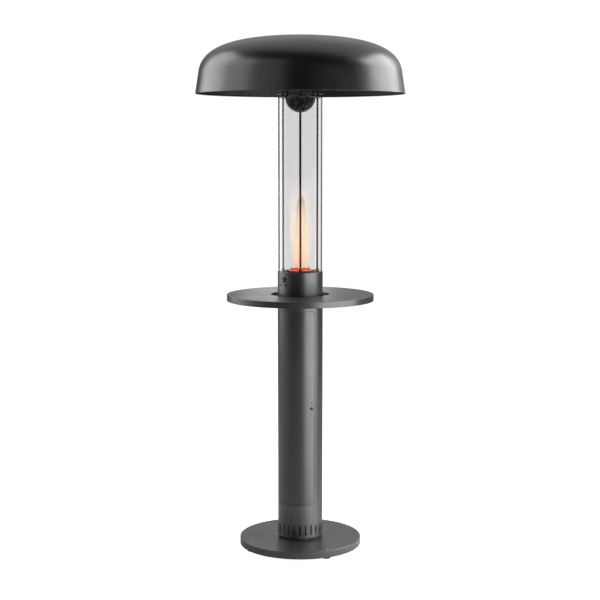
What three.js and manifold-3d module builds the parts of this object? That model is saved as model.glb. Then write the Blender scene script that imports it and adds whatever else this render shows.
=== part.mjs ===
// A gas patio heater with a standing table: a weighted round base, a slim column with a curved service
// door, a burner under a tall glass tube, and a wide mushroom shade.
// Millimetres, +Z up, origin on the floor at the middle of the base. The front is towards -Y.
import * as THREE from "three";
import { mergeVertices } from "three/addons/utils/BufferGeometryUtils.js";
import Module from "manifold-3d";

const wasm = await Module();
wasm.setup();

// ---------------------------------------------------------------- driving sizes
const gap = 0.3; // between pieces that touch
const round = 48; // sides of the column and the shade
const fine = 40; // sides of other large round pieces
const medium = 20;
const small = 8;
const sheet = 2; // sheet metal of the column, ring and shade

// Base
const footLift = 9; // floor to the underside of the base
const footRadius = 19;
const footInset = 27; // base's edge to the feet's centres
const footAngle = 28; // first foot, degrees from +X; the others follow every 90 degrees
const baseRadius = 250;
const baseDepth = 29;
const baseWall = 3;
const ballastClearance = 3; // cover to ballast, and ballast edge up from the cover's rim
const baseScrewHead = 5.2;
const baseScrewShank = 3;

// Plinth and column
const columnRadius = 92;
const plinthInset = 8; // shadow gap: the plinth's edge lies this far inside the column's
const plinthHeight = 10;
const plinthSpigot = 5.5; // the part of the plinth that stands up inside the column
const plinthBore = 50;
const plinthBoltHead = 9;
const plinthBoltShank = 5;
const ventCount = 24;
const ventWidth = 6;
const ventHeight = 43;
const ventLift = 11; // above the column's bottom edge
const ventTurn = -1; // degrees

// Door
const doorEdgeAngle = -50; // free edge, degrees from +X
const doorSweep = 180;
const doorBottom = 187;
const doorHeadroom = 43; // column's top to the door's
const doorCorner = 17;
const doorGap = 0.8; // all round the door
const hingeBarrel = 3.5;
const hingePin = 1.5;
const hingeSlack = 0.2; // running clearance on the pin
const knuckleLength = 20;
const knuckleGap = 0.4;
const hingeInset = 110; // door's end to the middle of its hinge
const leafSheet = 1.5;
const leafReach = 12; // degrees round the column
const lockHeight = 588;
const lockSetback = 10; // degrees from the door's free edge
const lockFlange = 7;
const lockBarrel = 5;
const lockPlug = 3;
const lockSlack = 0.25;
const camDepth = 8; // face of the cam below the door's outer surface
const camSheet = 2.5;
const camWidth = 9;
const camOverlap = 7; // how far the cam reaches behind the fixed shell
const lockScrewPitch = 23.5;
const lockScrewHead = 2.5;

// Table
const tableHeight = 1050;
const tableRadius = 300;
const tableDepth = 25;
const tableWall = 3;
const tableHoleGap = 27; // column to the hole's edge
const tableLipDepth = 14; // table top down to the lip in the hole
const tableLipWidth = 20;
const tableRingSheet = 3;
const tableRingOverhang = 8; // support ring past the inner skirt
const tableRingBore = 60;
const tableScrewAngle = 20;
const tableScrewHead = 6.5;
const tableScrewHeight = 6;
const tableScrewShank = 3;

// Burner head
const headRise = 93; // table top to the ring's top
const glassRecess = 7; // glass stands this deep in the ring
const glassClearance = 0.6;
const glassWall = 5;
const glassLength = 708;
const gasketSheet = 1.7;
const deckSheet = 2;
const deckBore = 17;
const airHoleCount = 8;
const airHoleRadius = 3;
const rodRadius = 4;
const rodInset = 14.9; // glass bore to the rods' centres
const rodTurn = 0.5; // degrees
const rodCollarRadius = 7;
const rodCollarHeight = 12;
const panInset = 6.5; // rod to the pan's edge
const panDepth = 4.7;
const panSheet = 1.5;
const burnerInset = 11;
const burnerDepth = 4;
const burnerPort = 2;
const mixerRadius = 14;
const mixerWall = 1.5;
const mixerLength = 68;
const electrodeRadius = 2.2;
const electrodeRise = 14;
const electrodeAngles = [75, 110]; // spark electrode, flame sensor

// Ignition button
const buttonAngle = -136.5;
const buttonDrop = 29; // below the ring's top
const buttonRadius = 8.2;
const buttonSlack = 0.3;
const buttonWall = 1.3;
const buttonFlange = 11;
const buttonProud = 3.2; // past the bezel's face
const buttonTravel = 3;
const bezelProud = 2.2;
const bezelLength = 12;

// Shade
const collarHeight = 15;
const collarOverhang = 3; // past the column's radius
const collarRim = 21; // radial width of its two rings
const collarFoot = 3; // lower ring, on the glass
const collarPlate = 3.5; // upper ring, under the shade's legs
const hubRadius = 18;
const spokeWidth = 16;
const studRadius = 5;
const deflectorInset = 4.5;
const deflectorWall = 1.5;
const shadeRadius = 422;
const shadeHeight = 230;
const shadeWallHeight = 90;
const shadeWallDraft = 14;
const shoulderPull = 100; // curve handles of the shoulder and the crown
const crownPull = 260;
const shadeRimLift = -2; // rim above the collar's top
const shadeHem = 1.6; // extra thickness of the rolled rim
const shadeHemHeight = 5;
const shadeSteps = 12; // of its curved part
const bracketEdge = 1.5; // bracket's plate past its legs
const bracketSheet = 4;
const legRadius = 4;
const collarPost = 5; // radius of the posts between the collar's rings

// Gas train, in the column
const plateOffset = 30;
const plateSheet = 2;
const plateFlange = 7.5;
const plateBottom = 200;
const plateHeadroom = 6; // door's top to the plate's
const inletHeight = 150;
const pipeRadius = 5;
const portRadius = 8;
const valveBottom = 205;
const valveHeight = 60;
const leverPlane = -30;
const leverSheet = 3;
const leverLength = 46;
const regulatorHeight = 80;
const regulatorRadius = 34;
const valveBlockDrop = 110; // column's top to the block's
const valveBlockHeight = 60;
const controlBoxHeight = 120;
const batteryHeight = 80;
const caseSpacing = 50; // between the block, the control box and the battery case
const caseInner = 12; // inner and outer sides of the two cases, from the column's middle
const caseOuter = 62;
const injectorLength = 38;
const injectorTip = 10; // how far the nozzle stands in the mixing tube

// ---------------------------------------------------------------- levels that follow
const footCircle = baseRadius - footInset;
const baseTop = footLift + baseDepth;
const columnBottom = baseTop + plinthHeight;
const columnTop = tableHeight - tableLipDepth - tableWall - gap - tableRingSheet - gap;
const doorTop = columnTop - doorHeadroom;
const plateTop = doorTop - plateHeadroom;
const valveBlockBottom = columnTop - valveBlockDrop - valveBlockHeight;
const controlBoxBottom = valveBlockBottom - caseSpacing - controlBoxHeight;
const batteryBottom = controlBoxBottom - caseSpacing - batteryHeight;
const ringBottom = tableHeight - tableLipDepth - tableWall;
const ringTop = tableHeight + headRise;
const columnBore = columnRadius - sheet;
const glassRadius = columnBore - glassClearance;
const glassBore = glassRadius - glassWall;
const glassBottom = ringTop - glassRecess;
const glassTop = glassBottom + glassLength;
const collarBottom = glassTop + gap + gasketSheet + gap;
const collarTop = collarBottom + collarHeight;
const rodCircle = glassBore - rodInset;
const panRadius = rodCircle - rodRadius - panInset;
const burnerRadius = panRadius - burnerInset;
const panTop = ringTop + gap + panDepth;
const burnerTop = ringTop + gap + panSheet + gap + burnerDepth;
const mixerTop = ringTop + gap + panSheet;
const mixerBottom = mixerTop - mixerLength;
const deflectorRadius = rodCircle - rodRadius - deflectorInset;
const legCircle = columnRadius + collarOverhang - collarRim + 0.5;
const bracketRadius = legCircle + legRadius + bracketEdge;
const shadeRim = collarTop + shadeRimLift;
const shadeApex = shadeRim + shadeHeight;
const tableHole = columnRadius + tableHoleGap;
const tableScrewCircle = tableHole - tableLipWidth / 2 - tableWall / 2;
const hingeAngle = doorEdgeAngle + doorSweep;
const hingeCircle = columnRadius + gap + hingeBarrel;
const fixedSide = doorEdgeAngle + doorSweep / 2; // middle of the column's fixed half
const lockAngle = doorEdgeAngle - lockSetback;

// ---------------------------------------------------------------- finishes
function finish(color, roughness, metalness) {
  return new THREE.MeshStandardMaterial({ color, roughness, metalness });
}
const coat = finish(0x3b3c3e, 0.38, 0.3);
const blackSteel = finish(0x141414, 0.3, 0.6);
const zincSteel = finish(0x8d8f92, 0.4, 0.9);
const castIron = finish(0x2b2b2c, 0.7, 0.5);
const brass = finish(0xb08d4a, 0.35, 0.9);
const rubber = finish(0x101010, 0.85, 0);
const blackPlastic = finish(0x17181a, 0.45, 0);
const greyPlastic = finish(0x6c6f73, 0.5, 0);
const ceramic = finish(0xe6e1d6, 0.5, 0);
const glowing = finish(0xe8602c, 0.6, 0.2);
const mineral = finish(0xb9b4aa, 0.9, 0);
const glass = new THREE.MeshStandardMaterial({
  color: 0xd6d8da,
  roughness: 0.05,
  transparent: true,
  opacity: 0.3,
});

// ---------------------------------------------------------------- shape helpers
const rad = THREE.MathUtils.degToRad;

function toSolid(geometry) {
  const bare = geometry.index ? geometry.toNonIndexed() : geometry.clone();
  bare.deleteAttribute("normal");
  bare.deleteAttribute("uv");
  const merged = mergeVertices(bare, 1e-4);
  const vertProperties = merged.attributes.position.array;
  const triVerts = new Uint32Array(merged.index.array);
  return new wasm.Manifold(new wasm.Mesh({ numProp: 3, vertProperties, triVerts }));
}

function toGeometry(solid) {
  const mesh = solid.getMesh();
  const geometry = new THREE.BufferGeometry();
  geometry.setAttribute("position", new THREE.BufferAttribute(mesh.vertProperties, 3));
  geometry.setIndex(new THREE.BufferAttribute(mesh.triVerts, 1));
  return geometry;
}

function join(first, ...others) {
  return toGeometry(others.reduce((sum, g) => sum.add(toSolid(g)), toSolid(first)));
}

function cut(blank, ...cutters) {
  return toGeometry(cutters.reduce((sum, g) => sum.subtract(toSolid(g)), toSolid(blank)));
}

// A profile of [radius, height] pairs turned about Z. It starts and ends on the axis.
function turned(profile, segments = medium) {
  const points = profile.map(([r, z]) => new THREE.Vector2(r, z));
  return new THREE.LatheGeometry(points, segments).rotateX(Math.PI / 2);
}

// The same for a profile that closes on itself round a hole.
function turnedRing(profile, segments = medium) {
  return turned([...profile, profile[0]], segments);
}

function tube(inner, outer, low, high, segments = medium) {
  return turnedRing([[inner, low], [outer, low], [outer, high], [inner, high]], segments);
}

function disc(radius, low, high, segments = medium) {
  return turned([[0, low], [radius, low], [radius, high], [0, high]], segments);
}

function box(x0, x1, y0, y1, z0, z1) {
  const geometry = new THREE.BoxGeometry(x1 - x0, y1 - y0, z1 - z0);
  return geometry.translate((x0 + x1) / 2, (y0 + y1) / 2, (z0 + z1) / 2);
}

// A round bar that points away from the column's axis, from radius r0 to r1.
function radialBar(radius, r0, r1, angle, z, segments = 16) {
  const bar = new THREE.CylinderGeometry(radius, radius, r1 - r0, segments);
  return bar.translate(0, (r0 + r1) / 2, 0).rotateZ(rad(angle - 90)).translate(0, 0, z);
}

// A curved plate: part of a ring between two angles, counter-clockwise.
function arcPlate(inner, outer, fromAngle, toAngle, low, high) {
  const shape = new THREE.Shape();
  shape.absarc(0, 0, outer, rad(fromAngle), rad(toAngle), false);
  shape.absarc(0, 0, inner, rad(toAngle), rad(fromAngle), true);
  const curveSegments = Math.max(3, Math.ceil((toAngle - fromAngle) / 5));
  const options = { depth: high - low, bevelEnabled: false, curveSegments };
  return new THREE.ExtrudeGeometry(shape, options).translate(0, 0, low);
}

function placed(geometry, radius, angle, z = 0) {
  return geometry.translate(radius, 0, z).rotateZ(rad(angle));
}

// A screw with its head up, standing on z = 0, and a round recess in the head.
function screw(headRadius, headHeight, shankRadius, length) {
  const recess = headRadius * 0.45;
  return turned(
    [
      [0, -length],
      [shankRadius, -length],
      [shankRadius, 0],
      [headRadius, 0],
      [headRadius, headHeight],
      [recess, headHeight],
      [recess, headHeight * 0.5],
      [0, headHeight * 0.5],
    ],
    small,
  );
}

const heater = new THREE.Group();
const service = new THREE.Group(); // the gas train's own frame: +X points at the fixed half
service.rotation.z = rad(fixedSide);
heater.add(service);

function add(name, geometry, material, parent = heater) {
  const mesh = new THREE.Mesh(geometry, material);
  mesh.name = name;
  parent.add(mesh);
}

// ---------------------------------------------------------------- base
const ballastRadius = baseRadius - baseWall - ballastClearance;
const ballastBottom = footLift + ballastClearance;
const ballastTop = baseTop - baseWall - gap;
const footAngles = [0, 1, 2, 3].map((k) => footAngle + 90 * k);
const plinthBoltCircle = (plinthBore + columnRadius - plinthInset) / 2;
const plinthBoltAngles = [0, 1, 2].map((k) => 90 + 120 * k);

function makeBase() {
  const coverEdge = 1.2; // small bevel round the top edge
  const cover = turnedRing(
    [
      [plinthBore, baseTop - baseWall],
      [baseRadius - baseWall, baseTop - baseWall],
      [baseRadius - baseWall, footLift],
      [baseRadius, footLift],
      [baseRadius, baseTop - coverEdge],
      [baseRadius - coverEdge, baseTop],
      [plinthBore, baseTop],
    ],
    fine,
  );
  const screwHoles = (radius) =>
    footAngles.map((a) => placed(disc(radius, 0, baseTop + 1, small), footCircle, a));
  const boltHoles = (radius) =>
    plinthBoltAngles.map((a) => placed(disc(radius, 0, baseTop + 1, small), plinthBoltCircle, a));
  const screwHole = baseScrewShank + gap;
  const boltHole = plinthBoltShank + gap;
  add("base_cover", cut(cover, ...screwHoles(screwHole), ...boltHoles(boltHole)), coat);
  const ballast = disc(ballastRadius, ballastBottom, ballastTop, fine);
  add("ballast_plate", cut(ballast, ...screwHoles(screwHole), ...boltHoles(boltHole)), castIron);

  const footTop = ballastBottom - gap;
  const socket = 3; // rubber left under the screw's end
  footAngles.forEach((a, k) => {
    const foot = turned([
      [0, 0],
      [footRadius - 2, 0],
      [footRadius, 2],
      [footRadius, footTop],
      [screwHole, footTop],
      [screwHole, socket],
      [0, socket],
    ], 14);
    add(`foot_${k + 1}`, placed(foot, footCircle, a), rubber);
    const fixing = screw(baseScrewHead, 2.2, baseScrewShank, baseTop + gap - socket - 1);
    add(`base_screw_${k + 1}`, placed(fixing, footCircle, a, baseTop + gap), zincSteel);
  });
}

function makePlinth() {
  const edge = columnRadius - plinthInset;
  const spigotRadius = columnBore - gap;
  const plinth = turnedRing([
    [plinthBore, baseTop + gap],
    [edge, baseTop + gap],
    [edge, columnBottom],
    [spigotRadius, columnBottom],
    [spigotRadius, columnBottom + plinthSpigot],
    [plinthBore, columnBottom + plinthSpigot],
  ], fine);
  const holes = plinthBoltAngles.map((a) =>
    placed(disc(plinthBoltShank + gap, 0, columnBottom + plinthSpigot + 1, small), plinthBoltCircle, a));
  add("plinth_ring", cut(plinth, ...holes), castIron);
  const seat = columnBottom + plinthSpigot + gap;
  plinthBoltAngles.forEach((a, k) => {
    const bolt = screw(plinthBoltHead, 5, plinthBoltShank, seat - ballastBottom - 1);
    add(`plinth_bolt_${k + 1}`, placed(bolt, plinthBoltCircle, a, seat), zincSteel);
  });
}

// ---------------------------------------------------------------- column and door
// The door's blank, grown all round: a half shell with rounded corners.
function doorBlank(inner, outer, grow) {
  const turn = THREE.MathUtils.radToDeg(grow / columnRadius);
  const from = doorEdgeAngle + turn;
  const to = hingeAngle - turn;
  const low = doorBottom - grow;
  const high = doorTop + grow;
  const blank = arcPlate(inner, outer, to, from + 360, low, high);
  const corner = doorCorner + grow;
  const cornerTurn = THREE.MathUtils.radToDeg(corner / columnRadius);
  const cutters = [];
  for (const z of [low, high]) {
    const inwards = z === low ? 1 : -1;
    for (const [edge, side] of [[from, -1], [to, 1]]) {
      const centre = edge + side * cornerTurn;
      const half = corner + 1;
      const spare = new THREE.BoxGeometry(half, outer - inner + 4, half);
      spare.translate((-side * half) / 2, 0, (-inwards * half) / 2);
      const bend = new THREE.CylinderGeometry(corner, corner, outer - inner + 8, 16);
      const cutter = cut(spare, bend);
      cutter.translate(0, -(inner + outer) / 2, 0).rotateZ(rad(centre + 90));
      cutters.push(cutter.translate(0, 0, z + inwards * corner));
    }
  }
  return cut(blank, ...cutters);
}

function ventCutter(angle) {
  const half = ventWidth / 2;
  const low = columnBottom + ventLift + half;
  const high = columnBottom + ventLift + ventHeight - half;
  const slot = new THREE.Shape();
  slot.absarc(0, high, half, 0, Math.PI, false);
  slot.absarc(0, low, half, Math.PI, 2 * Math.PI, false);
  const options = { depth: 6 * sheet, bevelEnabled: false, curveSegments: 3 };
  const cutter = new THREE.ExtrudeGeometry(slot, options).rotateX(Math.PI / 2);
  return cutter.translate(0, -columnBore + 2 * sheet, 0).rotateZ(rad(angle));
}

function makeColumn() {
  const shell = tube(columnBore, columnRadius, columnBottom, columnTop, round);
  const opening = doorBlank(columnBore - 4, columnRadius + 4, doorGap);
  const vents = Array.from({ length: ventCount }, (_, k) => ventCutter(ventTurn + (360 / ventCount) * k));
  const inletHole = radialBar(portRadius + 1.5, columnBore - 4, columnRadius + 4, fixedSide, inletHeight);
  add("column_shell", cut(shell, opening, inletHole, ...vents), coat);
}

function makeDoor() {
  const panel = doorBlank(columnBore, columnRadius, 0);
  const holes = [radialBar(lockBarrel + gap, columnBore - 4, columnRadius + 4, lockAngle, lockHeight)];
  const screwHeights = [lockHeight + lockScrewPitch, lockHeight - lockScrewPitch];
  const shank = lockScrewHead * 0.5;
  screwHeights.forEach((z) =>
    holes.push(radialBar(shank + gap, columnBore - 4, columnRadius + 4, lockAngle, z, 16)));
  add("door_panel", cut(panel, ...holes), coat);

  screwHeights.forEach((z, k) => {
    const fixing = screw(lockScrewHead, 1.2, shank, 7).rotateY(Math.PI / 2);
    fixing.translate(columnRadius + gap, 0, z).rotateZ(rad(lockAngle));
    add(`lock_screw_${k + 1}`, fixing, blackSteel);
  });

  const camFace = columnRadius - camDepth;
  const lockFace = columnRadius + gap;
  const flange = radialBar(lockFlange, lockFace, lockFace + 1.4, lockAngle, lockHeight, 20);
  const barrel = radialBar(lockBarrel, camFace + gap, lockFace + 0.5, lockAngle, lockHeight);
  const nut = radialBar(lockFlange, camFace + 1, columnBore - 1.2, lockAngle, lockHeight, 6);
  const bore = radialBar(lockPlug + lockSlack, camFace - 4, columnRadius + 8, lockAngle, lockHeight);
  add("lock_housing", cut(join(flange, barrel, nut), bore), blackSteel);

  const plug = radialBar(lockPlug, camFace - camSheet / 2, lockFace + 2, lockAngle, lockHeight);
  const reach = columnRadius * Math.sin(rad(lockSetback)) + camOverlap;
  const cam = box(camFace - camSheet, camFace, -camWidth / 2, camWidth / 2, -camWidth / 2, reach);
  const keyway = box(columnRadius + 1, columnRadius + 4, -0.4, 0.4, -1.8, 1.8);
  for (const piece of [cam, keyway]) piece.translate(0, 0, lockHeight).rotateZ(rad(lockAngle));
  add("lock_cam", cut(join(plug, cam), keyway), zincSteel);
}

// One hinge: three knuckles on a fixed pin, and a curved leaf on each side.
function makeHinge(label, middle) {
  const reach = 1.5 * knuckleLength;
  const standOff = THREE.MathUtils.radToDeg((hingeBarrel + 1) / columnRadius);
  const inner = columnRadius + gap;
  const knuckle = (low, high) => placed(disc(hingeBarrel, low, high, 14), hingeCircle, hingeAngle);
  const leaf = (from, to, low, high) => arcPlate(inner, inner + leafSheet, from, to, low, high);
  const half = knuckleLength / 2;
  const outerLow = [middle - reach, middle - half - knuckleGap];
  const outerHigh = [middle + half + knuckleGap, middle + reach];
  const pin = placed(disc(hingePin, middle - reach, middle + reach, 10), hingeCircle, hingeAngle);
  const fixedLeaf = join(
    leaf(hingeAngle - leafReach, hingeAngle - standOff, middle - reach, middle + reach),
    leaf(hingeAngle - standOff - 0.1, hingeAngle, ...outerLow),
    leaf(hingeAngle - standOff - 0.1, hingeAngle, ...outerHigh),
    knuckle(...outerLow),
    knuckle(...outerHigh),
    pin,
  );
  add(`hinge_${label}_fixed_leaf`, fixedLeaf, blackSteel);
  const pinHole = disc(hingePin + hingeSlack, middle - reach, middle + reach, small);
  const bore = placed(pinHole, hingeCircle, hingeAngle);
  const doorLeaf = join(
    leaf(hingeAngle + standOff, hingeAngle + leafReach, middle - reach, middle + reach),
    leaf(hingeAngle, hingeAngle + standOff + 0.1, middle - half, middle + half),
    knuckle(middle - half, middle + half),
  );
  add(`hinge_${label}_door_leaf`, cut(doorLeaf, bore), blackSteel);
}

// ---------------------------------------------------------------- table
const tableScrewAngles = [0, 1, 2].map((k) => tableScrewAngle + 120 * k);

function makeTable() {
  const lipTop = tableHeight - tableLipDepth;
  const lipBottom = lipTop - tableWall;
  const edge = 1.2; // small bevel
  const tray = turnedRing(
    [
      [tableHole - tableLipWidth, lipBottom],
      [tableHole + tableWall, lipBottom],
      [tableHole + tableWall, tableHeight - tableWall],
      [tableRadius - tableWall, tableHeight - tableWall],
      [tableRadius - tableWall, tableHeight - tableDepth],
      [tableRadius, tableHeight - tableDepth],
      [tableRadius, tableHeight - edge],
      [tableRadius - edge, tableHeight],
      [tableHole, tableHeight],
      [tableHole, lipTop],
      [tableHole - tableLipWidth, lipTop],
    ],
    fine,
  );
  const holes = (low, high) =>
    tableScrewAngles.map((a) =>
      placed(disc(tableScrewShank + gap, low, high, small), tableScrewCircle, a));
  add("table_top", cut(tray, ...holes(lipBottom - 1, lipTop + 1)), coat);
  const ringHigh = lipBottom - gap;
  const ringLow = ringHigh - tableRingSheet;
  const support = tube(tableRingBore, tableHole + tableWall + tableRingOverhang, ringLow, ringHigh, fine);
  add("table_support_ring", cut(support, ...holes(ringLow - 1, ringHigh + 1)), coat);
  tableScrewAngles.forEach((a, k) => {
    const fixing = screw(tableScrewHead, tableScrewHeight, tableScrewShank, 10);
    add(`table_screw_${k + 1}`, placed(fixing, tableScrewCircle, a, lipTop + gap), zincSteel);
  });
}

// ---------------------------------------------------------------- burner head
const rodAngles = [0, 1, 2, 3].map((k) => rodTurn + 90 * k);
const seatTop = glassBottom - gap - gasketSheet - gap;
const electrodeCircle = panRadius + 1.2 + electrodeRadius;

function makeHead() {
  const ring = tube(columnBore, columnRadius, ringBottom, ringTop, round);
  const buttonHeight = ringTop - buttonDrop;
  const sleeve = buttonRadius + buttonSlack + buttonWall;
  const along = [buttonAngle, buttonHeight, 24];
  const buttonHole = radialBar(sleeve + gap, columnBore - 4, columnRadius + 4, ...along);
  add("head_ring", cut(ring, buttonHole), coat);

  const bezelFace = columnRadius + bezelProud;
  const bezel = cut(
    join(
      radialBar(buttonFlange, columnRadius + gap, bezelFace, ...along),
      radialBar(sleeve, bezelFace - bezelLength, bezelFace - 0.5, ...along),
    ),
    radialBar(buttonRadius + buttonSlack, 0, columnRadius + 20, ...along),
  );
  add("button_bezel", bezel, blackPlastic);
  const face = bezelFace + buttonProud;
  const back = bezelFace - bezelLength - buttonTravel;
  add("ignition_button", radialBar(buttonRadius, back, face, ...along), blackPlastic);

  const flangeEdge = columnBore - gap;
  const plateEdge = glassBore - gap;
  const deck = turnedRing(
    [
      [deckBore, ringTop - deckSheet],
      [plateEdge - deckSheet, ringTop - deckSheet],
      [plateEdge - deckSheet, seatTop - deckSheet],
      [flangeEdge, seatTop - deckSheet],
      [flangeEdge, seatTop],
      [plateEdge, seatTop],
      [plateEdge, ringTop],
      [deckBore, ringTop],
    ],
    fine,
  );
  const deckHoles = [];
  rodAngles.forEach((a) =>
    deckHoles.push(placed(disc(rodRadius + gap, seatTop - 9, ringTop + 1, small), rodCircle, a)));
  for (let k = 0; k < airHoleCount; k += 1) {
    const a = rodTurn + (360 / airHoleCount) * (k + 0.5);
    deckHoles.push(placed(disc(airHoleRadius, ringTop - 9, ringTop + 1, 8), rodCircle, a));
  }
  const electrodeHole = electrodeRadius + gap;
  electrodeAngles.forEach((a) =>
    deckHoles.push(placed(disc(electrodeHole, ringTop - 9, ringTop + 1, small), electrodeCircle, a)));
  add("burner_deck", cut(deck, ...deckHoles), blackSteel);
}

function makeBurner() {
  const mixerHole = mixerRadius + gap;
  const panFloor = ringTop + gap;
  const pan = turnedRing(
    [
      [mixerHole, panFloor],
      [panRadius, panFloor],
      [panRadius, panTop],
      [panRadius - panSheet, panTop],
      [panRadius - panSheet, panFloor + panSheet],
      [mixerHole, panFloor + panSheet],
    ],
    28,
  );
  add("burner_pan", pan, blackSteel);

  const plate = disc(burnerRadius, mixerTop + gap, burnerTop, 28);
  const ports = [];
  for (const [circle, count] of [[burnerRadius * 0.4, 4], [burnerRadius * 0.78, 8]]) {
    for (let k = 0; k < count; k += 1) {
      ports.push(placed(disc(burnerPort, panFloor, burnerTop + 1, 6), circle, (360 / count) * k));
    }
  }
  add("burner_plate", cut(plate, ...ports), glowing);

  const wall = tube(mixerRadius - mixerWall, mixerRadius, mixerBottom, mixerTop, 20);
  const intakes = [0, 90].map((a) =>
    radialBar(5, -mixerRadius - 2, mixerRadius + 2, a, mixerBottom + injectorTip + 6, small));
  add("mixing_tube", cut(wall, ...intakes), zincSteel);

  electrodeAngles.forEach((a, k) => {
    const tip = ringTop + electrodeRise;
    const stem = placed(disc(electrodeRadius, ringTop - 24, tip - 4, small), electrodeCircle, a);
    const wire = new THREE.CatmullRomCurve3([
      new THREE.Vector3(electrodeCircle, 0, tip - 5),
      new THREE.Vector3(electrodeCircle - 1, 0, tip - 1),
      new THREE.Vector3(electrodeCircle - 8, 0, tip),
      new THREE.Vector3(burnerRadius - 6, 0, tip - 2),
    ]);
    const section = new THREE.Shape().absarc(0, 0, 0.9, 0, 2 * Math.PI, false);
    const options = { steps: 7, bevelEnabled: false, extrudePath: wire, curveSegments: 6 };
    const needle = new THREE.ExtrudeGeometry(section, options).rotateZ(rad(a));
    add(["spark_electrode", "flame_sensor"][k], join(stem, needle), ceramic);
  });
}

function makeGlass() {
  add("glass_gasket_lower", tube(glassBore, glassRadius, seatTop + gap, glassBottom - gap, fine), mineral);
  add("glass_tube", tube(glassBore, glassRadius, glassBottom, glassTop, fine), glass);
  const upperGasket = tube(glassBore, glassRadius, glassTop + gap, collarBottom - gap, fine);
  add("glass_gasket_upper", upperGasket, mineral);

  const rodFoot = seatTop - 8;
  const lowCollar = ringTop + gap;
  const highCollar = collarBottom - gap;
  const rodHead = collarTop + 9;
  rodAngles.forEach((a, k) => {
    const rod = turned(
      [
        [0, rodFoot],
        [rodRadius, rodFoot],
        [rodRadius, lowCollar],
        [rodCollarRadius, lowCollar],
        [rodCollarRadius, lowCollar + rodCollarHeight],
        [rodRadius, lowCollar + rodCollarHeight],
        [rodRadius, highCollar - rodCollarHeight / 2],
        [rodCollarRadius, highCollar - rodCollarHeight / 2],
        [rodCollarRadius, highCollar],
        [rodRadius, highCollar],
        [rodRadius, rodHead - 1],
        [rodRadius - 1, rodHead],
        [0, rodHead],
      ],
      small,
    );
    add(`tie_rod_${k + 1}`, placed(rod, rodCircle, a), blackSteel);
  });
}

// ---------------------------------------------------------------- shade
const legAngles = [45, 135, 225, 315].map((a) => a + rodTurn);

function makeCollar() {
  const outer = columnRadius + collarOverhang;
  const bore = outer - collarRim;
  const foot = tube(bore, outer - collarOverhang, collarBottom, collarBottom + collarFoot, fine);
  const plate = tube(bore, outer, collarTop - collarPlate, collarTop, fine);
  const spokes = [0, 1].map((k) => {
    const reach = outer - collarRim / 2;
    const spoke = box(-reach, reach, -spokeWidth / 2, spokeWidth / 2, collarBottom, collarBottom + 4);
    return spoke.rotateZ(rad(rodTurn + 90 * k));
  });
  const hub = disc(hubRadius, collarBottom, collarBottom + 6, 24);
  const through = (radius) => disc(radius + gap, collarBottom - 1, collarTop + 1, small);
  const holes = rodAngles.map((a) => placed(through(rodRadius), rodCircle, a));
  holes.push(through(studRadius));
  const post = () => disc(collarPost, collarBottom, collarTop - 1, 14);
  const posts = legAngles.map((a) => placed(post(), legCircle, a));
  add("top_collar", cut(join(foot, plate, ...spokes, hub, ...posts), ...holes), blackSteel);

  const inner = deflectorRadius - deflectorWall;
  const top = collarBottom - gap;
  const bowl = [[0, top - deflectorRadius]];
  const steps = 6;
  for (let k = 1; k <= steps; k += 1) {
    const turn = (Math.PI / 2) * (k / steps);
    bowl.push([deflectorRadius * Math.sin(turn), top - deflectorRadius * Math.cos(turn)]);
  }
  for (let k = steps; k >= 1; k -= 1) {
    const turn = (Math.PI / 2) * (k / steps);
    bowl.push([Math.max(inner * Math.sin(turn), studRadius), top - inner * Math.cos(turn)]);
  }
  const innerFloor = top - Math.sqrt(inner * inner - studRadius * studRadius);
  const stud = disc(studRadius, innerFloor - 0.5, collarTop + 4, small);
  const shell = turned([...bowl, [studRadius, innerFloor], [0, innerFloor]], 20);
  add("deflector_bowl", join(shell, stud), blackSteel);
}

// The shade's outer line from rim to crown: a drafted wall, then one curve to the apex.
function shadeLine(steps) {
  const shoulder = shadeRadius - shadeWallDraft;
  const wallTop = shadeRim + shadeWallHeight;
  const slope = new THREE.Vector2(-shadeWallDraft, shadeWallHeight).normalize();
  const curve = new THREE.CubicBezierCurve(
    new THREE.Vector2(shoulder, wallTop),
    new THREE.Vector2(shoulder + slope.x * shoulderPull, wallTop + slope.y * shoulderPull),
    new THREE.Vector2(crownPull, shadeApex),
    new THREE.Vector2(0, shadeApex),
  );
  return [new THREE.Vector2(shadeRadius, shadeRim), ...curve.getPoints(steps)];
}

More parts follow.
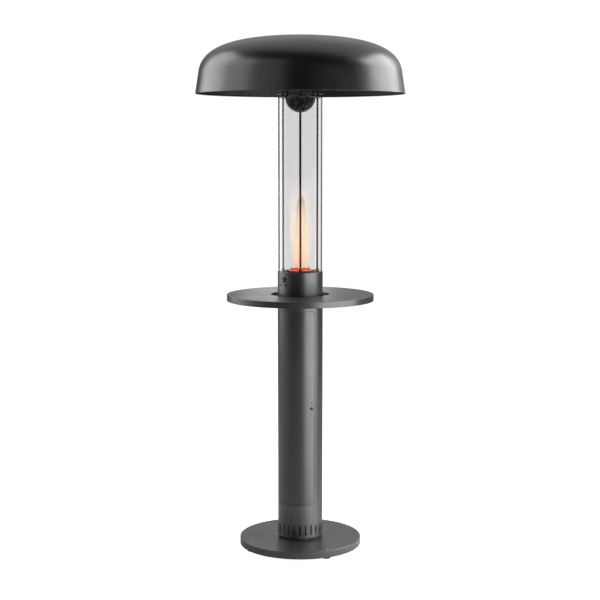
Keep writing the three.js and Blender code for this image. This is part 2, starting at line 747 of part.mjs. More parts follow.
function makeShade() {
  const outer = shadeLine(shadeSteps);
  const inner = outer.map((p, k) => {
    const before = outer[Math.max(k - 1, 0)];
    const after = outer[Math.min(k + 1, outer.length - 1)];
    const along = after.clone().sub(before).normalize();
    if (k === outer.length - 1) return new THREE.Vector2(0, p.y - sheet);
    return new THREE.Vector2(p.x - along.y * sheet, p.y + along.x * sheet);
  });
  const wall = shadeWallDraft / shadeWallHeight;
  const hemTop = shadeRim + shadeHemHeight;
  const hemOuter = (z) => shadeRadius - wall * (z - shadeRim);
  const hem = [
    [hemOuter(hemTop) - sheet - 0.05, hemTop],
    [hemOuter(hemTop) - sheet - shadeHem, hemTop - 1],
    [hemOuter(shadeRim + 1) - sheet - shadeHem, shadeRim + 1],
    [hemOuter(shadeRim) - sheet, shadeRim],
  ];
  const innerPairs = inner.slice(1).reverse().map((p) => [p.x, p.y]);
  const outerPairs = outer.map((p) => [p.x, p.y]);
  add("shade", turned([...innerPairs, ...hem, ...outerPairs], round), coat);

  const above = outer.findIndex((p) => p.x <= bracketRadius + sheet);
  const [crown, side] = [outer[above], outer[above - 1]];
  const share = (bracketRadius + sheet - side.x) / (crown.x - side.x);
  const roof = side.y + share * (crown.y - side.y) - sheet - gap; // shade's inside over the bracket's edge
  const plate = disc(bracketRadius, roof - gap - bracketSheet, roof - gap, medium);
  const legs = legAngles.map((a) =>
    placed(disc(legRadius, collarTop + gap, roof - gap - bracketSheet / 2, small), legCircle, a));
  add("shade_bracket", join(plate, ...legs), blackSteel);
}

// ---------------------------------------------------------------- gas train and controls
function makeServicePlate() {
  const clearRadius = columnBore - 0.8;
  const flangeEnd = plateOffset + plateSheet + plateFlange;
  const half = Math.sqrt(clearRadius ** 2 - flangeEnd ** 2);
  const face = box(plateOffset, plateOffset + plateSheet, -half, half, plateBottom, plateTop);
  const left = box(plateOffset, flangeEnd, half - plateSheet, half, plateBottom, plateTop);
  const right = box(plateOffset, flangeEnd, -half, plateSheet - half, plateBottom, plateTop);
  add("service_plate", join(face, left, right), zincSteel, service);
}

function makeInlet() {
  const bend = 24;
  const rise = valveBottom - gap;
  const route = new THREE.CurvePath();
  route.add(new THREE.LineCurve3(
    new THREE.Vector3(columnRadius + 8, 0, inletHeight),
    new THREE.Vector3(bend, 0, inletHeight),
  ));
  route.add(new THREE.QuadraticBezierCurve3(
    new THREE.Vector3(bend, 0, inletHeight),
    new THREE.Vector3(0, 0, inletHeight),
    new THREE.Vector3(0, 0, inletHeight + bend),
  ));
  route.add(new THREE.LineCurve3(
    new THREE.Vector3(0, 0, inletHeight + bend),
    new THREE.Vector3(0, 0, rise),
  ));
  const section = new THREE.Shape().absarc(0, 0, pipeRadius, 0, 2 * Math.PI, false);
  const options = { steps: 16, bevelEnabled: false, extrudePath: route, curveSegments: 6 };
  const pipe = new THREE.ExtrudeGeometry(section, options);
  const hose = turned(
    [
      [0, 0],
      [portRadius, 0],
      [portRadius, 14],
      [6, 15],
      [6, 17],
      [6.8, 20],
      [5.6, 23],
      [6.8, 26],
      [5.6, 29],
      [6.4, 32],
      [4.5, 36],
      [0, 36],
    ],
    small,
  );
  hose.rotateY(Math.PI / 2).translate(columnBore - 8, 0, inletHeight);
  const nut = radialBar(13, columnRadius + 1, columnRadius + 6, 0, inletHeight, 6);
  add("gas_inlet", join(pipe, hose, nut), brass, service);
}

function makeShutoff() {
  const middle = valveBottom + valveHeight / 2;
  const body = turned(
    [
      [0, valveBottom],
      [11, valveBottom],
      [11, valveBottom + 14],
      [14, valveBottom + 18],
      [14, valveBottom + valveHeight - 18],
      [11, valveBottom + valveHeight - 14],
      [11, valveBottom + valveHeight],
      [0, valveBottom + valveHeight],
    ],
    small,
  );
  const stemEnd = leverPlane - 4;
  const neckBar = new THREE.CylinderGeometry(7, 7, 20, small).rotateZ(Math.PI / 2);
  neckBar.translate(leverPlane + leverSheet + gap + 10, 0, middle);
  const spindle = new THREE.CylinderGeometry(3, 3, 12, small).rotateZ(Math.PI / 2);
  spindle.translate(stemEnd + 6, 0, middle);
  add("shutoff_valve", join(body, neckBar, spindle), brass, service);

  const lever = join(
    box(leverPlane, leverPlane + leverSheet, -5, 5, 0, leverLength),
    new THREE.CylinderGeometry(8, 8, leverSheet, 20).rotateZ(Math.PI / 2)
      .translate(leverPlane + leverSheet / 2, 0, 0),
  );
  const eye = new THREE.CylinderGeometry(3.4, 3.4, 20, small).rotateZ(Math.PI / 2);
  const handle = cut(lever, eye.translate(leverPlane, 0, 0)).translate(0, 0, middle);
  add("shutoff_lever", handle, greyPlastic, service);
}

function makeRegulator() {
  const low = valveBottom + valveHeight + gap;
  const high = low + regulatorHeight;
  const middle = (low + high) / 2;
  const bell = turned(
    [
      [0, -24],
      [14, -24],
      [16, -20],
      [regulatorRadius - 4, -12],
      [regulatorRadius, -8],
      [regulatorRadius, 0],
      [regulatorRadius - 4, 4],
      [18, 12],
      [18, 22],
      [0, 22],
    ],
    24,
  ).rotateY(Math.PI / 2);
  const ports = disc(portRadius, low, high, small);
  add("pressure_regulator", join(bell.translate(0, 0, middle), ports), castIron, service);
}

function makeSupply() {
  const low = valveBottom + valveHeight + gap + regulatorHeight + gap;
  add("supply_pipe", disc(pipeRadius, low, valveBlockBottom - gap, small), brass, service);

  const blockTop = valveBlockBottom + valveBlockHeight;
  const back = plateOffset - gap;
  const body = box(-16, back, -24, 24, valveBlockBottom + 8, blockTop - 8);
  const ports = disc(portRadius + 2, valveBlockBottom, blockTop, small);
  const coils = [-12, 12].map((y) => {
    const coil = new THREE.CylinderGeometry(10, 10, 26, 16).rotateZ(Math.PI / 2);
    return coil.translate(-28, y, (valveBlockBottom + blockTop) / 2);
  });
  add("gas_valve_block", join(body, ports, ...coils), castIron, service);

  const injectorBottom = mixerBottom + injectorTip - injectorLength;
  add("burner_pipe", disc(pipeRadius, blockTop + gap, injectorBottom - gap, small), brass, service);
  const nozzle = turned(
    [
      [0, injectorBottom],
      [8, injectorBottom],
      [8, injectorBottom + 12],
      [6, injectorBottom + 14],
      [6, injectorBottom + injectorLength - 8],
      [2.5, injectorBottom + injectorLength],
      [0, injectorBottom + injectorLength],
    ],
    small,
  );
  add("injector", nozzle, brass, service);
}

function makeCases() {
  const back = plateOffset - gap;
  const shut = (low, height, y0, y1, depth) => {
    const body = box(back - depth, back, y0, y1, low, low + height);
    const lid = box(back - depth - 2, back - depth + 1, y0 + 3, y1 - 3, low + 3, low + height - 3);
    return join(body, lid);
  };
  const control = shut(controlBoxBottom, controlBoxHeight, caseInner, caseOuter, 44);
  add("control_box", control, greyPlastic, service);
  const battery = shut(batteryBottom, batteryHeight, -caseOuter, -caseInner, 30);
  add("battery_case", battery, blackPlastic, service);
}

makeBase();
makePlinth();
makeColumn();
makeDoor();
makeHinge("upper", doorTop - hingeInset);
makeHinge("lower", doorBottom + hingeInset);
makeTable();
makeHead();
makeBurner();
makeGlass();
makeCollar();
makeShade();
makeServicePlate();
makeInlet();
makeShutoff();
makeRegulator();
makeSupply();
makeCases();

export default heater;
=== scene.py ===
"""A gas patio heater with a standing table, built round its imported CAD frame.

Round sheet-metal parts are turned again at full smoothness with rounded edges, the column and its door
are cut from true cylinders, and every surface gets a procedural finish. Shapes are made in millimetres
and scaled to metres as they become objects. The front faces -Y, and angles are in degrees from +X,
counter-clockwise from above.
"""
import math

import bmesh
import bpy
from mathutils import Matrix, Vector


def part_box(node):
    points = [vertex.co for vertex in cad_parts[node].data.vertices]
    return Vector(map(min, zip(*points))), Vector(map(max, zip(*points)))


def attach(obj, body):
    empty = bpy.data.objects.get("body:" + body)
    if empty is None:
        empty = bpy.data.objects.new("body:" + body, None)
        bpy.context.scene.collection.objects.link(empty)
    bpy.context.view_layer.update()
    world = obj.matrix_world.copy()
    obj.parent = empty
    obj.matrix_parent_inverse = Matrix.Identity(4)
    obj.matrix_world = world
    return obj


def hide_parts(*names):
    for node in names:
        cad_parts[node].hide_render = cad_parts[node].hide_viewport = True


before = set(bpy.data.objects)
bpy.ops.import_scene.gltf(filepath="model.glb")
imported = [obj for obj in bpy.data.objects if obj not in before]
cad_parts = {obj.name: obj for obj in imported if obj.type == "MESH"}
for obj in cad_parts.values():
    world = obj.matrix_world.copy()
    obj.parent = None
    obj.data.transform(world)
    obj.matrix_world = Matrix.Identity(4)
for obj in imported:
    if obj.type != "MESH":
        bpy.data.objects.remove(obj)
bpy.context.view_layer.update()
SCENE = bpy.context.scene
MM = 0.001
TAU = 2 * math.pi


# ---------------------------------------------------------------- sizes from the frame
def low(node):
    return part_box(node)[0] / MM


def high(node):
    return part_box(node)[1] / MM


def middle(node):
    return (low(node) + high(node)) / 2


def span(node):
    """A node's lowest and highest z."""
    return low(node).z, high(node).z


def sizes(node):
    """A round node's radius, lowest z and highest z."""
    return high(node).x, *span(node)


BASE_R, BASE_LOW, BASE_TOP = sizes("base_cover")
COLUMN_R, COLUMN_LOW, COLUMN_TOP = sizes("column_shell")
DOOR_LOW, DOOR_TOP = span("door_panel")
TABLE_R, TABLE_LOW, TABLE_TOP = sizes("table_top")
RING_LOW, RING_TOP = span("head_ring")
GLASS_R, GLASS_LOW, GLASS_TOP = sizes("glass_tube")
COLLAR_R, COLLAR_LOW, COLLAR_TOP = sizes("top_collar")
SHADE_R, SHADE_LOW, SHADE_TOP = sizes("shade")
BOWL_LOW = low("deflector_bowl").z

SHEET = 2
GAP = 0.3
COVER_WALL = 3
COLUMN_BORE = COLUMN_R - SHEET
DOOR_EDGE = -50
DOOR_SWEEP = 180
DOOR_CORNER = 17
DOOR_GAP = 1.3
HINGE_ANGLE = DOOR_EDGE + DOOR_SWEEP
KNUCKLE_R = 3.5
PIN_CIRCLE = COLUMN_R + GAP + KNUCKLE_R
KNUCKLE_GAP = 0.4
FIXED_SIDE = DOOR_EDGE + DOOR_SWEEP / 2
LOCK_ANGLE = DOOR_EDGE - 10
LOCK_Z = middle("lock_housing").z
VENT_COUNT = 24
VENT_WIDTH = 6
VENT_LOW = COLUMN_LOW + 11
VENT_TOP = VENT_LOW + 43
VENT_TURN = -1
INLET_Z = 150
FOOT_ANGLE = 28
FOOT_CIRCLE = BASE_R - 27
BUTTON_ANGLE = -136.5
BUTTON_Z = middle("button_bezel").z
ROD_TURN = 0.5
ROD_R = 4
GLASS_WALL = 5
GLASS_BORE = GLASS_R - GLASS_WALL
ROD_CIRCLE = GLASS_BORE - 14.9
TABLE_HOLE = COLUMN_R + 27
QUARTERS = [0, 90, 180, 270]
THIRDS = [0, 120, 240]


# ---------------------------------------------------------------- shape helpers
def polar(radius, degrees, z=0.0):
    turn = math.radians(degrees)
    return Vector((radius * math.cos(turn), radius * math.sin(turn), z))


def fillet(points, radius, steps=3):
    """Rounds the sharp corners of a closed line of (r, z) points. Corners on the axis stay."""
    line = []
    for i, point in enumerate(points):
        here = Vector(point[:2])
        size = point[2] if len(point) > 2 else radius
        back = Vector(points[i - 1][:2]) - here
        ahead = Vector(points[(i + 1) % len(points)][:2]) - here
        if size <= 0 or here.x < 1e-6 or back.angle(ahead) > math.radians(150):
            line.append(here)
            continue
        reach = size / math.tan(back.angle(ahead) / 2)
        reach = min(reach, 0.45 * back.length, 0.45 * ahead.length)
        start = here + back.normalized() * reach
        stop = here + ahead.normalized() * reach
        for k in range(steps + 1):
            t = k / steps
            line.append(start * (1 - t) ** 2 + here * 2 * t * (1 - t) + stop * t * t)
    return line


def tube_line(inner, outer, bottom, top):
    return [(inner, bottom), (outer, bottom), (outer, top), (inner, top)]


def disc_line(radius, bottom, top):
    return [(0, bottom), (radius, bottom), (radius, top), (0, top)]


def revolve(bm, profile, segments, spin=None):
    """Adds a turned surface. spin(radius, z, turn) may change a point's radius round the axis."""
    rings = []
    for radius, z in profile:
        if radius < 1e-6:
            rings.append([bm.verts.new((0, 0, z))])
            continue
        ring = []
        for k in range(segments):
            turn = TAU * k / segments
            r = spin(radius, z, turn) if spin else radius
            ring.append(bm.verts.new((r * math.cos(turn), r * math.sin(turn), z)))
        rings.append(ring)
    for a, b in zip(rings, rings[1:] + rings[:1]):
        if len(a) == 1 and len(b) == 1:
            continue
        for k in range(segments):
            n = (k + 1) % segments
            if len(a) == 1:
                bm.faces.new((a[0], b[n], b[k]))
            elif len(b) == 1:
                bm.faces.new((a[k], a[n], b[0]))
            else:
                bm.faces.new((a[k], a[n], b[n], b[k]))


def to_piece(bm, material, sharp=40):
    """Turns a bmesh in millimetres into an object in metres."""
    bmesh.ops.remove_doubles(bm, verts=bm.verts, dist=1e-4)
    bmesh.ops.recalc_face_normals(bm, faces=bm.faces)
    bmesh.ops.scale(bm, vec=(MM, MM, MM), verts=bm.verts)
    mesh = bpy.data.meshes.new("piece")
    bm.to_mesh(mesh)
    bm.free()
    mesh.shade_smooth()
    mesh.set_sharp_from_angle(angle=math.radians(sharp))
    mesh.materials.append(material)
    piece = bpy.data.objects.new("piece", mesh)
    SCENE.collection.objects.link(piece)
    return piece


def lathe(profile, material, segments=96, radius=0.5, steps=3, spin=None):
    bm = bmesh.new()
    revolve(bm, fillet(profile, radius, steps), segments, spin)
    return to_piece(bm, material)


def place(piece, at=(0, 0, 0), turn=0.0, tilt=0.0, roll=0.0):
    """Moves a piece made along Z: rolled about Z, tilted over towards +X, put at a point and turned."""
    matrix = Matrix.Rotation(math.radians(turn), 4, "Z") @ Matrix.Translation(Vector(at) * MM)
    matrix = matrix @ Matrix.Rotation(math.radians(tilt), 4, "Y")
    matrix = matrix @ Matrix.Rotation(math.radians(roll), 4, "Z")
    piece.data.transform(matrix)
    return piece


def along_x(piece, at=(0, 0, 0)):
    """Lays a piece made along Z along +X, then moves it to a point."""
    return place(place(piece, tilt=90), at)


def on_wall(piece, angle, z, out=0):
    """Points a piece made along Z straight out of the column's wall."""
    return place(along_x(piece), (out, 0, z), angle)


def shown(piece, name, node=None, body="root"):
    """Names a piece, hides the CAD node it stands for, and fixes it to its body."""
    piece.name = name
    piece.data.name = name
    flats = piece.modifiers.new("flats", "WEIGHTED_NORMAL")
    flats.keep_sharp = True
    if node:
        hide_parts(node)
    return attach(piece, body)


def stand_for(piece, node, body="root"):
    return shown(piece, node + "_shown", node, body)


def rounded_outline(u0, u1, z0, z1, corner, steps=10):
    points = []
    for u, z, first in ((u1 - corner, z1 - corner, 0), (u0 + corner, z1 - corner, 90),
                        (u0 + corner, z0 + corner, 180), (u1 - corner, z0 + corner, 270)):
        for k in range(steps + 1):
            turn = math.radians(first + 90 * k / steps)
            points.append((u + corner * math.cos(turn), z + corner * math.sin(turn)))
    return points


def pour(source, target):
    """Moves one bmesh's shape into another."""
    mesh = bpy.data.meshes.new("poured")
    source.to_mesh(mesh)
    source.free()
    target.from_mesh(mesh)
    bpy.data.meshes.remove(mesh)


def bent_plate(bm, outline, inner, outer, start, edge=0.0, step=1.5):
    """A flat plate with this (length round the column, z) outline, bent round the axis from an angle."""
    flat = bmesh.new()
    face = flat.faces.new([flat.verts.new((u, 0, z)) for u, z in outline])
    made = bmesh.ops.extrude_face_region(flat, geom=[face])
    lifted = [v for v in made["geom"] if isinstance(v, bmesh.types.BMVert)]
    bmesh.ops.translate(flat, verts=lifted, vec=(0, outer - inner, 0))
    bmesh.ops.recalc_face_normals(flat, faces=flat.faces)
    if edge > 0:
        rims = [e for e in flat.edges if abs(e.verts[0].co.y - e.verts[1].co.y) < 1e-6]
        bmesh.ops.bevel(flat, geom=rims, offset=edge, segments=2, profile=0.6, affect="EDGES")
    first = min(v.co.x for v in flat.verts)
    last = max(v.co.x for v in flat.verts)
    pitch = math.radians(step) * COLUMN_R
    for k in range(1, math.ceil((last - first) / pitch)):
        everything = flat.verts[:] + flat.edges[:] + flat.faces[:]
        cut_at = (first + k * pitch, 0, 0)
        bmesh.ops.bisect_plane(flat, geom=everything, plane_co=cut_at, plane_no=(1, 0, 0))
    for v in flat.verts:
        v.co = polar(inner + v.co.y, start + math.degrees(v.co.x / COLUMN_R), v.co.z)
    pour(flat, bm)


def prism(bm, ring, depth):
    """A straight prism on a ring of points, as deep as the vector says."""
    near = [bm.verts.new(p) for p in ring]
    far = [bm.verts.new(Vector(p) + Vector(depth)) for p in ring]
    bm.faces.new(near)
    bm.faces.new(list(reversed(far)))
    for k in range(len(ring)):
        n = (k + 1) % len(ring)
        bm.faces.new((near[k], far[k], far[n], near[n]))


def slot_cutter(bm, angle, width, bottom, top, inner, outer, steps=10):
    """A tall slot with round ends, right through a wall at this angle."""
    half = width / 2
    out = polar(1, angle)
    along = polar(1, angle + 90)
    ring = []
    for centre, first in ((top - half, 0), (bottom + half, math.pi)):
        for k in range(steps + 1):
            turn = first + math.pi * k / steps
            point = out * inner + along * (half * math.cos(turn))
            ring.append(point + Vector((0, 0, centre + half * math.sin(turn))))
    prism(bm, ring, out * (outer - inner))


def hole_cutter(bm, radius, angle, z, inner, outer, segments=48):
    out = polar(1, angle)
    along = polar(1, angle + 90)
    ring = []
    for k in range(segments):
        turn = TAU * k / segments
        point = out * inner + along * (radius * math.cos(turn))
        ring.append(point + Vector((0, 0, z + radius * math.sin(turn))))
    prism(bm, ring, out * (outer - inner))


def carve(piece, cutter_bm):
    """Cuts a shape out of a piece and keeps its sharp edges sharp."""
    cutter = to_piece(cutter_bm, piece.data.materials[0])
    boolean = piece.modifiers.new("cut", "BOOLEAN")
    boolean.operation = "DIFFERENCE"
    boolean.solver = "EXACT"
    boolean.object = cutter
    bpy.context.view_layer.update()
    depsgraph = bpy.context.evaluated_depsgraph_get()
    mesh = bpy.data.meshes.new_from_object(piece.evaluated_get(depsgraph))
    piece.modifiers.clear()
    piece.data = mesh
    mesh.set_sharp_from_angle(angle=math.radians(40))
    bpy.data.objects.remove(cutter)
    return piece


def hexagon(radius, turn):
    sixth = math.pi / 3
    return radius * math.cos(sixth / 2) / math.cos((turn + sixth / 2) % sixth - sixth / 2)


def six_sided(corner, chosen):
    """A spin that holds the points that chosen(radius, z) picks inside a hexagon."""
    def spin(r, z, turn):
        return min(r, hexagon(corner, turn)) if chosen(r, z) else r

    return spin


def button_screw(radius, height, shank, length, material):
    """A button-head screw that stands on z = 0, with a hexagon socket."""
    socket = 0.46 * radius
    floor = 0.3 * height
    crown = [(radius * math.cos(t), height * (0.3 + 0.7 * math.sin(t)))
             for t in (math.radians(10 * k) for k in range(6))]
    profile = [(0, -length, 0), (shank, -length), (shank, 0), (radius, 0, 0.1), *crown,
               (socket, height, 0.1), (socket, floor, 0), (0, floor, 0)]

    def spin(r, z, turn):
        return hexagon(r, turn) if r <= socket * 1.05 and z > 0 else r

    return lathe(profile, material, 48, 0.2, 2, spin)


def hex_nut(corner, height, bore, material):
    """A chamfered hexagon nut or bolt head that stands on z = 0."""
    flat = 0.9 * corner
    profile = [(bore, 0, 0), (flat, 0, 0), (corner, 0.12 * height, 0), (corner, 0.88 * height, 0),
               (flat, height, 0), (bore, height, 0.2)]
    return lathe(profile, material, 72, 0, 2, six_sided(corner, lambda r, z: r > bore + 0.01))


def hex_bolt(corner, height, shank, length, material):
    flat = 0.9 * corner
    profile = [(0, -length, 0), (shank, -length), (shank, 0, 0), (flat, 0, 0), (corner, 0.12 * height, 0),
               (corner, 0.85 * height, 0), (flat, height, 0), (0, height, 0)]
    spin = six_sided(corner, lambda r, z: z >= 0 and r > shank + 0.01)
    return lathe(profile, material, 72, 0.3, 2, spin)


def bar(bm, radius, start, stop, segments=32):
    """Adds a round bar between two points."""
    start, stop = Vector(start), Vector(stop)
    turn = (stop - start).to_track_quat("Z", "Y").to_matrix().to_4x4()
    bmesh.ops.create_cone(bm, cap_ends=True, segments=segments, radius1=radius, radius2=radius,
                          depth=(stop - start).length, matrix=Matrix.Translation((start + stop) / 2) @ turn)


def block(bm, x0, x1, y0, y1, z0, z1):
    """Adds a box between two corners."""
    matrix = Matrix.Translation(((x0 + x1) / 2, (y0 + y1) / 2, (z0 + z1) / 2))
    matrix = matrix @ Matrix.Diagonal((x1 - x0, y1 - y0, z1 - z0, 1))
    return bmesh.ops.create_cube(bm, size=1, matrix=matrix)["verts"]


def soften(bm, width, segments=3, angle=50):
    """Bevels every edge sharper than this angle."""
    edges = [e for e in bm.edges if e.is_manifold and e.calc_face_angle(0) > math.radians(angle)]
    bmesh.ops.bevel(bm, geom=edges, offset=width, segments=segments, profile=0.6, affect="EDGES",
                    clamp_overlap=True)


def pipe(points, radius, material, segments=28):
    """A solid round bar along a line of points."""
    points = [Vector(p) for p in points]
    bm = bmesh.new()
    rings = []
    up = Vector((0.123, 1, 0.05))
    for i, point in enumerate(points):
        ahead = (points[min(i + 1, len(points) - 1)] - points[max(i - 1, 0)]).normalized()
        side = ahead.cross(up).normalized()
        other = ahead.cross(side)
        rings.append([bm.verts.new(point + (side * math.cos(TAU * k / segments)
                                            + other * math.sin(TAU * k / segments)) * radius)
                      for k in range(segments)])
    for a, b in zip(rings, rings[1:]):
        for k in range(segments):
            n = (k + 1) % segments
            bm.faces.new((a[k], a[n], b[n], b[k]))
    bm.faces.new(rings[0])
    bm.faces.new(list(reversed(rings[-1])))
    return to_piece(bm, material)


def joined(pieces):
    """Puts several objects' meshes into the first. Each keeps its own material."""
    bm = bmesh.new()
    materials = []
    for piece in pieces:
        material = piece.data.materials[0]
        if material not in materials:
            materials.append(material)
        before = len(bm.faces)
        bm.from_mesh(piece.data)
        bm.faces.ensure_lookup_table()
        for face in bm.faces[before:]:
            face.material_index = materials.index(material)
    mesh = bpy.data.meshes.new("joined")
    bm.to_mesh(mesh)
    bm.free()
    for material in materials:
        mesh.materials.append(material)
    mesh.set_sharp_from_angle(angle=math.radians(40))
    pieces[0].data = mesh
    for piece in pieces[1:]:
        bpy.data.objects.remove(piece)
    return pieces[0]


# ---------------------------------------------------------------- material helpers
INPUTS = {"color": "Base Color", "rough": "Roughness", "metal": "Metallic", "level": "Specular IOR Level",
          "glow": "Emission Color", "power": "Emission Strength"}


def new_material(name):
    material = bpy.data.materials.new(name)
    material.use_nodes = True
    tree = material.node_tree
    return material, tree, tree.nodes["Principled BSDF"]


def dress(tree, shader, **looks):
    """Sets shader inputs by their short names, each to a constant or a socket."""
    for key, value in looks.items():
        target = shader.inputs[INPUTS[key]]
        if isinstance(value, bpy.types.NodeSocket):
            tree.links.new(value, target)
        else:
            target.default_value = value


def own_place(tree):
    """A point's place in the object's own metres."""
    return tree.nodes.new("ShaderNodeTexCoord").outputs["Object"]


def noise(tree, scale, detail=4.0, rough=0.5, stretch=(1, 1, 1)):
    """Noise in the object's own metres. scale is about the number of features in a metre."""
    mapping = tree.nodes.new("ShaderNodeMapping")
    mapping.inputs["Scale"].default_value = stretch
    made = tree.nodes.new("ShaderNodeTexNoise")
    made.inputs["Scale"].default_value = scale
    made.inputs["Detail"].default_value = detail
    made.inputs["Roughness"].default_value = rough
    tree.links.new(own_place(tree), mapping.inputs["Vector"])
    tree.links.new(mapping.outputs["Vector"], made.inputs["Vector"])
    return made.outputs["Fac"]


def remap(tree, value, from_low, from_high, to_low, to_high, smooth=False):
    made = tree.nodes.new("ShaderNodeMapRange")
    made.interpolation_type = "SMOOTHSTEP" if smooth else "LINEAR"
    numbers = (from_low, from_high, to_low, to_high)
    for key, number in zip(("From Min", "From Max", "To Min", "To Max"), numbers):
        made.inputs[key].default_value = number
    tree.links.new(value, made.inputs["Value"])
    return made.outputs["Result"]


def mottle(tree, scale, detail, from_low, from_high, to_low=0, to_high=1):
    return remap(tree, noise(tree, scale, detail), from_low, from_high, to_low, to_high)


def blend_colors(tree, factor, first, second):
    """Mixes two colours, each a socket or an (r, g, b), by a socket."""
    made = tree.nodes.new("ShaderNodeMix")
    made.data_type = "RGBA"
    tree.links.new(factor, made.inputs[0])
    for key, color in (("A", first), ("B", second)):
        target = [s for s in made.inputs if s.name == key and s.type == "RGBA"][0]
        if isinstance(color, tuple):
            target.default_value = (*color, 1)
        else:
            tree.links.new(color, target)
    return [s for s in made.outputs if s.type == "RGBA"][0]


def times(tree, first, second):
    """Multiplies a socket by a socket or a number."""
    made = tree.nodes.new("ShaderNodeMath")
    made.operation = "MULTIPLY"
    tree.links.new(first, made.inputs[0])
    if isinstance(second, (int, float)):
        made.inputs[1].default_value = second
    else:
        tree.links.new(second, made.inputs[1])
    return made.outputs[0]


def bumps(tree, shader, *layers):
    """Stacks bump layers of (height socket, strength, distance in metres)."""
    normal = None
    for height, strength, distance in layers:
        made = tree.nodes.new("ShaderNodeBump")
        made.inputs["Strength"].default_value = strength
        made.inputs["Distance"].default_value = distance
        tree.links.new(height, made.inputs["Height"])
        if normal:
            tree.links.new(normal, made.inputs["Normal"])
        normal = made.outputs["Normal"]
    tree.links.new(normal, shader.inputs["Normal"])


def up_facing(tree):
    """1 on faces that look up, 0 on walls."""
    geometry = tree.nodes.new("ShaderNodeNewGeometry")
    split = tree.nodes.new("ShaderNodeSeparateXYZ")
    tree.links.new(geometry.outputs["Normal"], split.inputs[0])
    return remap(tree, split.outputs["Z"], 0.6, 1.0, 0, 1)


def outer_wall(tree, radius):
    """1 on faces this far from the upright axis (in millimetres), 0 nearer to it."""
    flat = tree.nodes.new("ShaderNodeVectorMath")
    flat.operation = "MULTIPLY"
    flat.inputs[1].default_value = (1, 1, 0)
    distance = tree.nodes.new("ShaderNodeVectorMath")
    distance.operation = "LENGTH"
    tree.links.new(own_place(tree), flat.inputs[0])
    tree.links.new(flat.outputs["Vector"], distance.inputs[0])
    return remap(tree, distance.outputs["Value"], (radius - 2) * MM, (radius - 1) * MM, 0, 1)


def worn_edges(tree):
    geometry = tree.nodes.new("ShaderNodeNewGeometry")
    return remap(tree, geometry.outputs["Pointiness"], 0.53, 0.6, 0, 1)


# ---------------------------------------------------------------- finishes
def powder_coat(name, color, rough):
    """Satin powder coat: fine orange peel, faint mottling, a little dust on top and paler edges."""
    material, tree, shader = new_material(name)
    pale = tuple(c * 1.3 + 0.003 for c in color)
    tone = blend_colors(tree, mottle(tree, 9, 5, 0.35, 0.65), color, pale)
    dust = times(tree, remap(tree, noise(tree, 60, 6, 0.7), 0.45, 0.75, 0.0, 0.3), up_facing(tree))
    tone = blend_colors(tree, dust, tone, (0.13, 0.13, 0.125))
    tone = blend_colors(tree, times(tree, worn_edges(tree), 0.3), tone, (0.16, 0.16, 0.16))
    smears = remap(tree, noise(tree, 14, 8, 0.65), 0.3, 0.7, rough - 0.04, rough + 0.05)
    dress(tree, shader, color=tone, level=1.0, rough=smears)
    bumps(tree, shader, (noise(tree, 240, 3), 0.04, 0.0006), (noise(tree, 1300, 2), 0.08, 0.0002))
    return material


def shade_inside(name):
    """The shade's underside: a thin, dull coat with patches of soot."""
    material, tree, shader = new_material(name)
    soot = mottle(tree, 12, 5, 0.35, 0.7)
    dress(tree, shader, color=blend_colors(tree, soot, (0.012, 0.012, 0.012), (0.02, 0.019, 0.018)),
          level=0.3, rough=mottle(tree, 30, 4, 0.3, 0.7, 0.5, 0.62))
    bumps(tree, shader, (noise(tree, 260, 3), 0.06, 0.0006))
    return material


def black_metal(name, rough):
    """Heat-proof black on steel, browned by heat in places, with a fine grain."""
    material, tree, shader = new_material(name)
    tone = blend_colors(tree, mottle(tree, 22, 5, 0.42, 0.72), (0.010, 0.010, 0.011), (0.026, 0.019, 0.016))
    tone = blend_colors(tree, times(tree, worn_edges(tree), 0.4), tone, (0.1, 0.1, 0.1))
    blotches = mottle(tree, 45, 6, 0.3, 0.7, rough - 0.06, rough + 0.08)
    dress(tree, shader, color=tone, level=0.3, rough=blotches)
    bumps(tree, shader, (noise(tree, 700, 3), 0.06, 0.0003))
    return material


def scaled_rod_painted_glow(name, bottom, top):
    """Dull black rod, scaled brown. Its faint red glow near the flame is painted light: a painted reflection
    of the flame's glow, given as emission.
    """
    material, tree, shader = new_material(name)
    scale = mottle(tree, 60, 5, 0.4, 0.7)
    # Painted reflection of the flame: a red glow over the flame's height, given as emission.
    glow_colors = [(0.0, (0.05, 0.011, 0.006)), (0.3, (0.11, 0.014, 0.006)), (0.7, (0.05, 0.008, 0.004)),
            (1.0, (0.004, 0.001, 0.001))]
    dress(tree, shader, color=blend_colors(tree, scale, (0.006, 0.005, 0.005), (0.018, 0.010, 0.008)),
          level=0.2, rough=mottle(tree, 90, 4, 0.3, 0.7, 0.5, 0.66),
          glow=height_ramp(tree, bottom, top, glow_colors), power=1.0)
    bumps(tree, shader, (noise(tree, 600, 3), 0.1, 0.0003))
    return material


def gloss_enamel(name):
    """Black enamel with a light haze from the heat."""
    material, tree, shader = new_material(name)
    haze = remap(tree, noise(tree, 35, 6, 0.6), 0.4, 0.7, 0, 1)
    dress(tree, shader, color=blend_colors(tree, haze, (0.004, 0.004, 0.004), (0.012, 0.009, 0.008)),
          level=0.12, rough=mottle(tree, 50, 5, 0.3, 0.7, 0.26, 0.34))
    bumps(tree, shader, (noise(tree, 90, 2), 0.05, 0.0006))
    return material


def bare_metal(name, color, rough, stretch=(1, 1, 1)):
    """Machined or plated metal with fine streaks and small stains."""
    material, tree, shader = new_material(name)
    stains = remap(tree, noise(tree, 70, 6, 0.7), 0.4, 0.75, 0, 0.6)
    lines = noise(tree, 500, 4, 0.5, stretch)
    dress(tree, shader, metal=1.0, color=blend_colors(tree, stains, color, tuple(c * 0.6 for c in color)),
          rough=remap(tree, lines, 0.3, 0.7, rough - 0.08, rough + 0.1))
    bumps(tree, shader, (lines, 0.08, 0.0002))
    return material


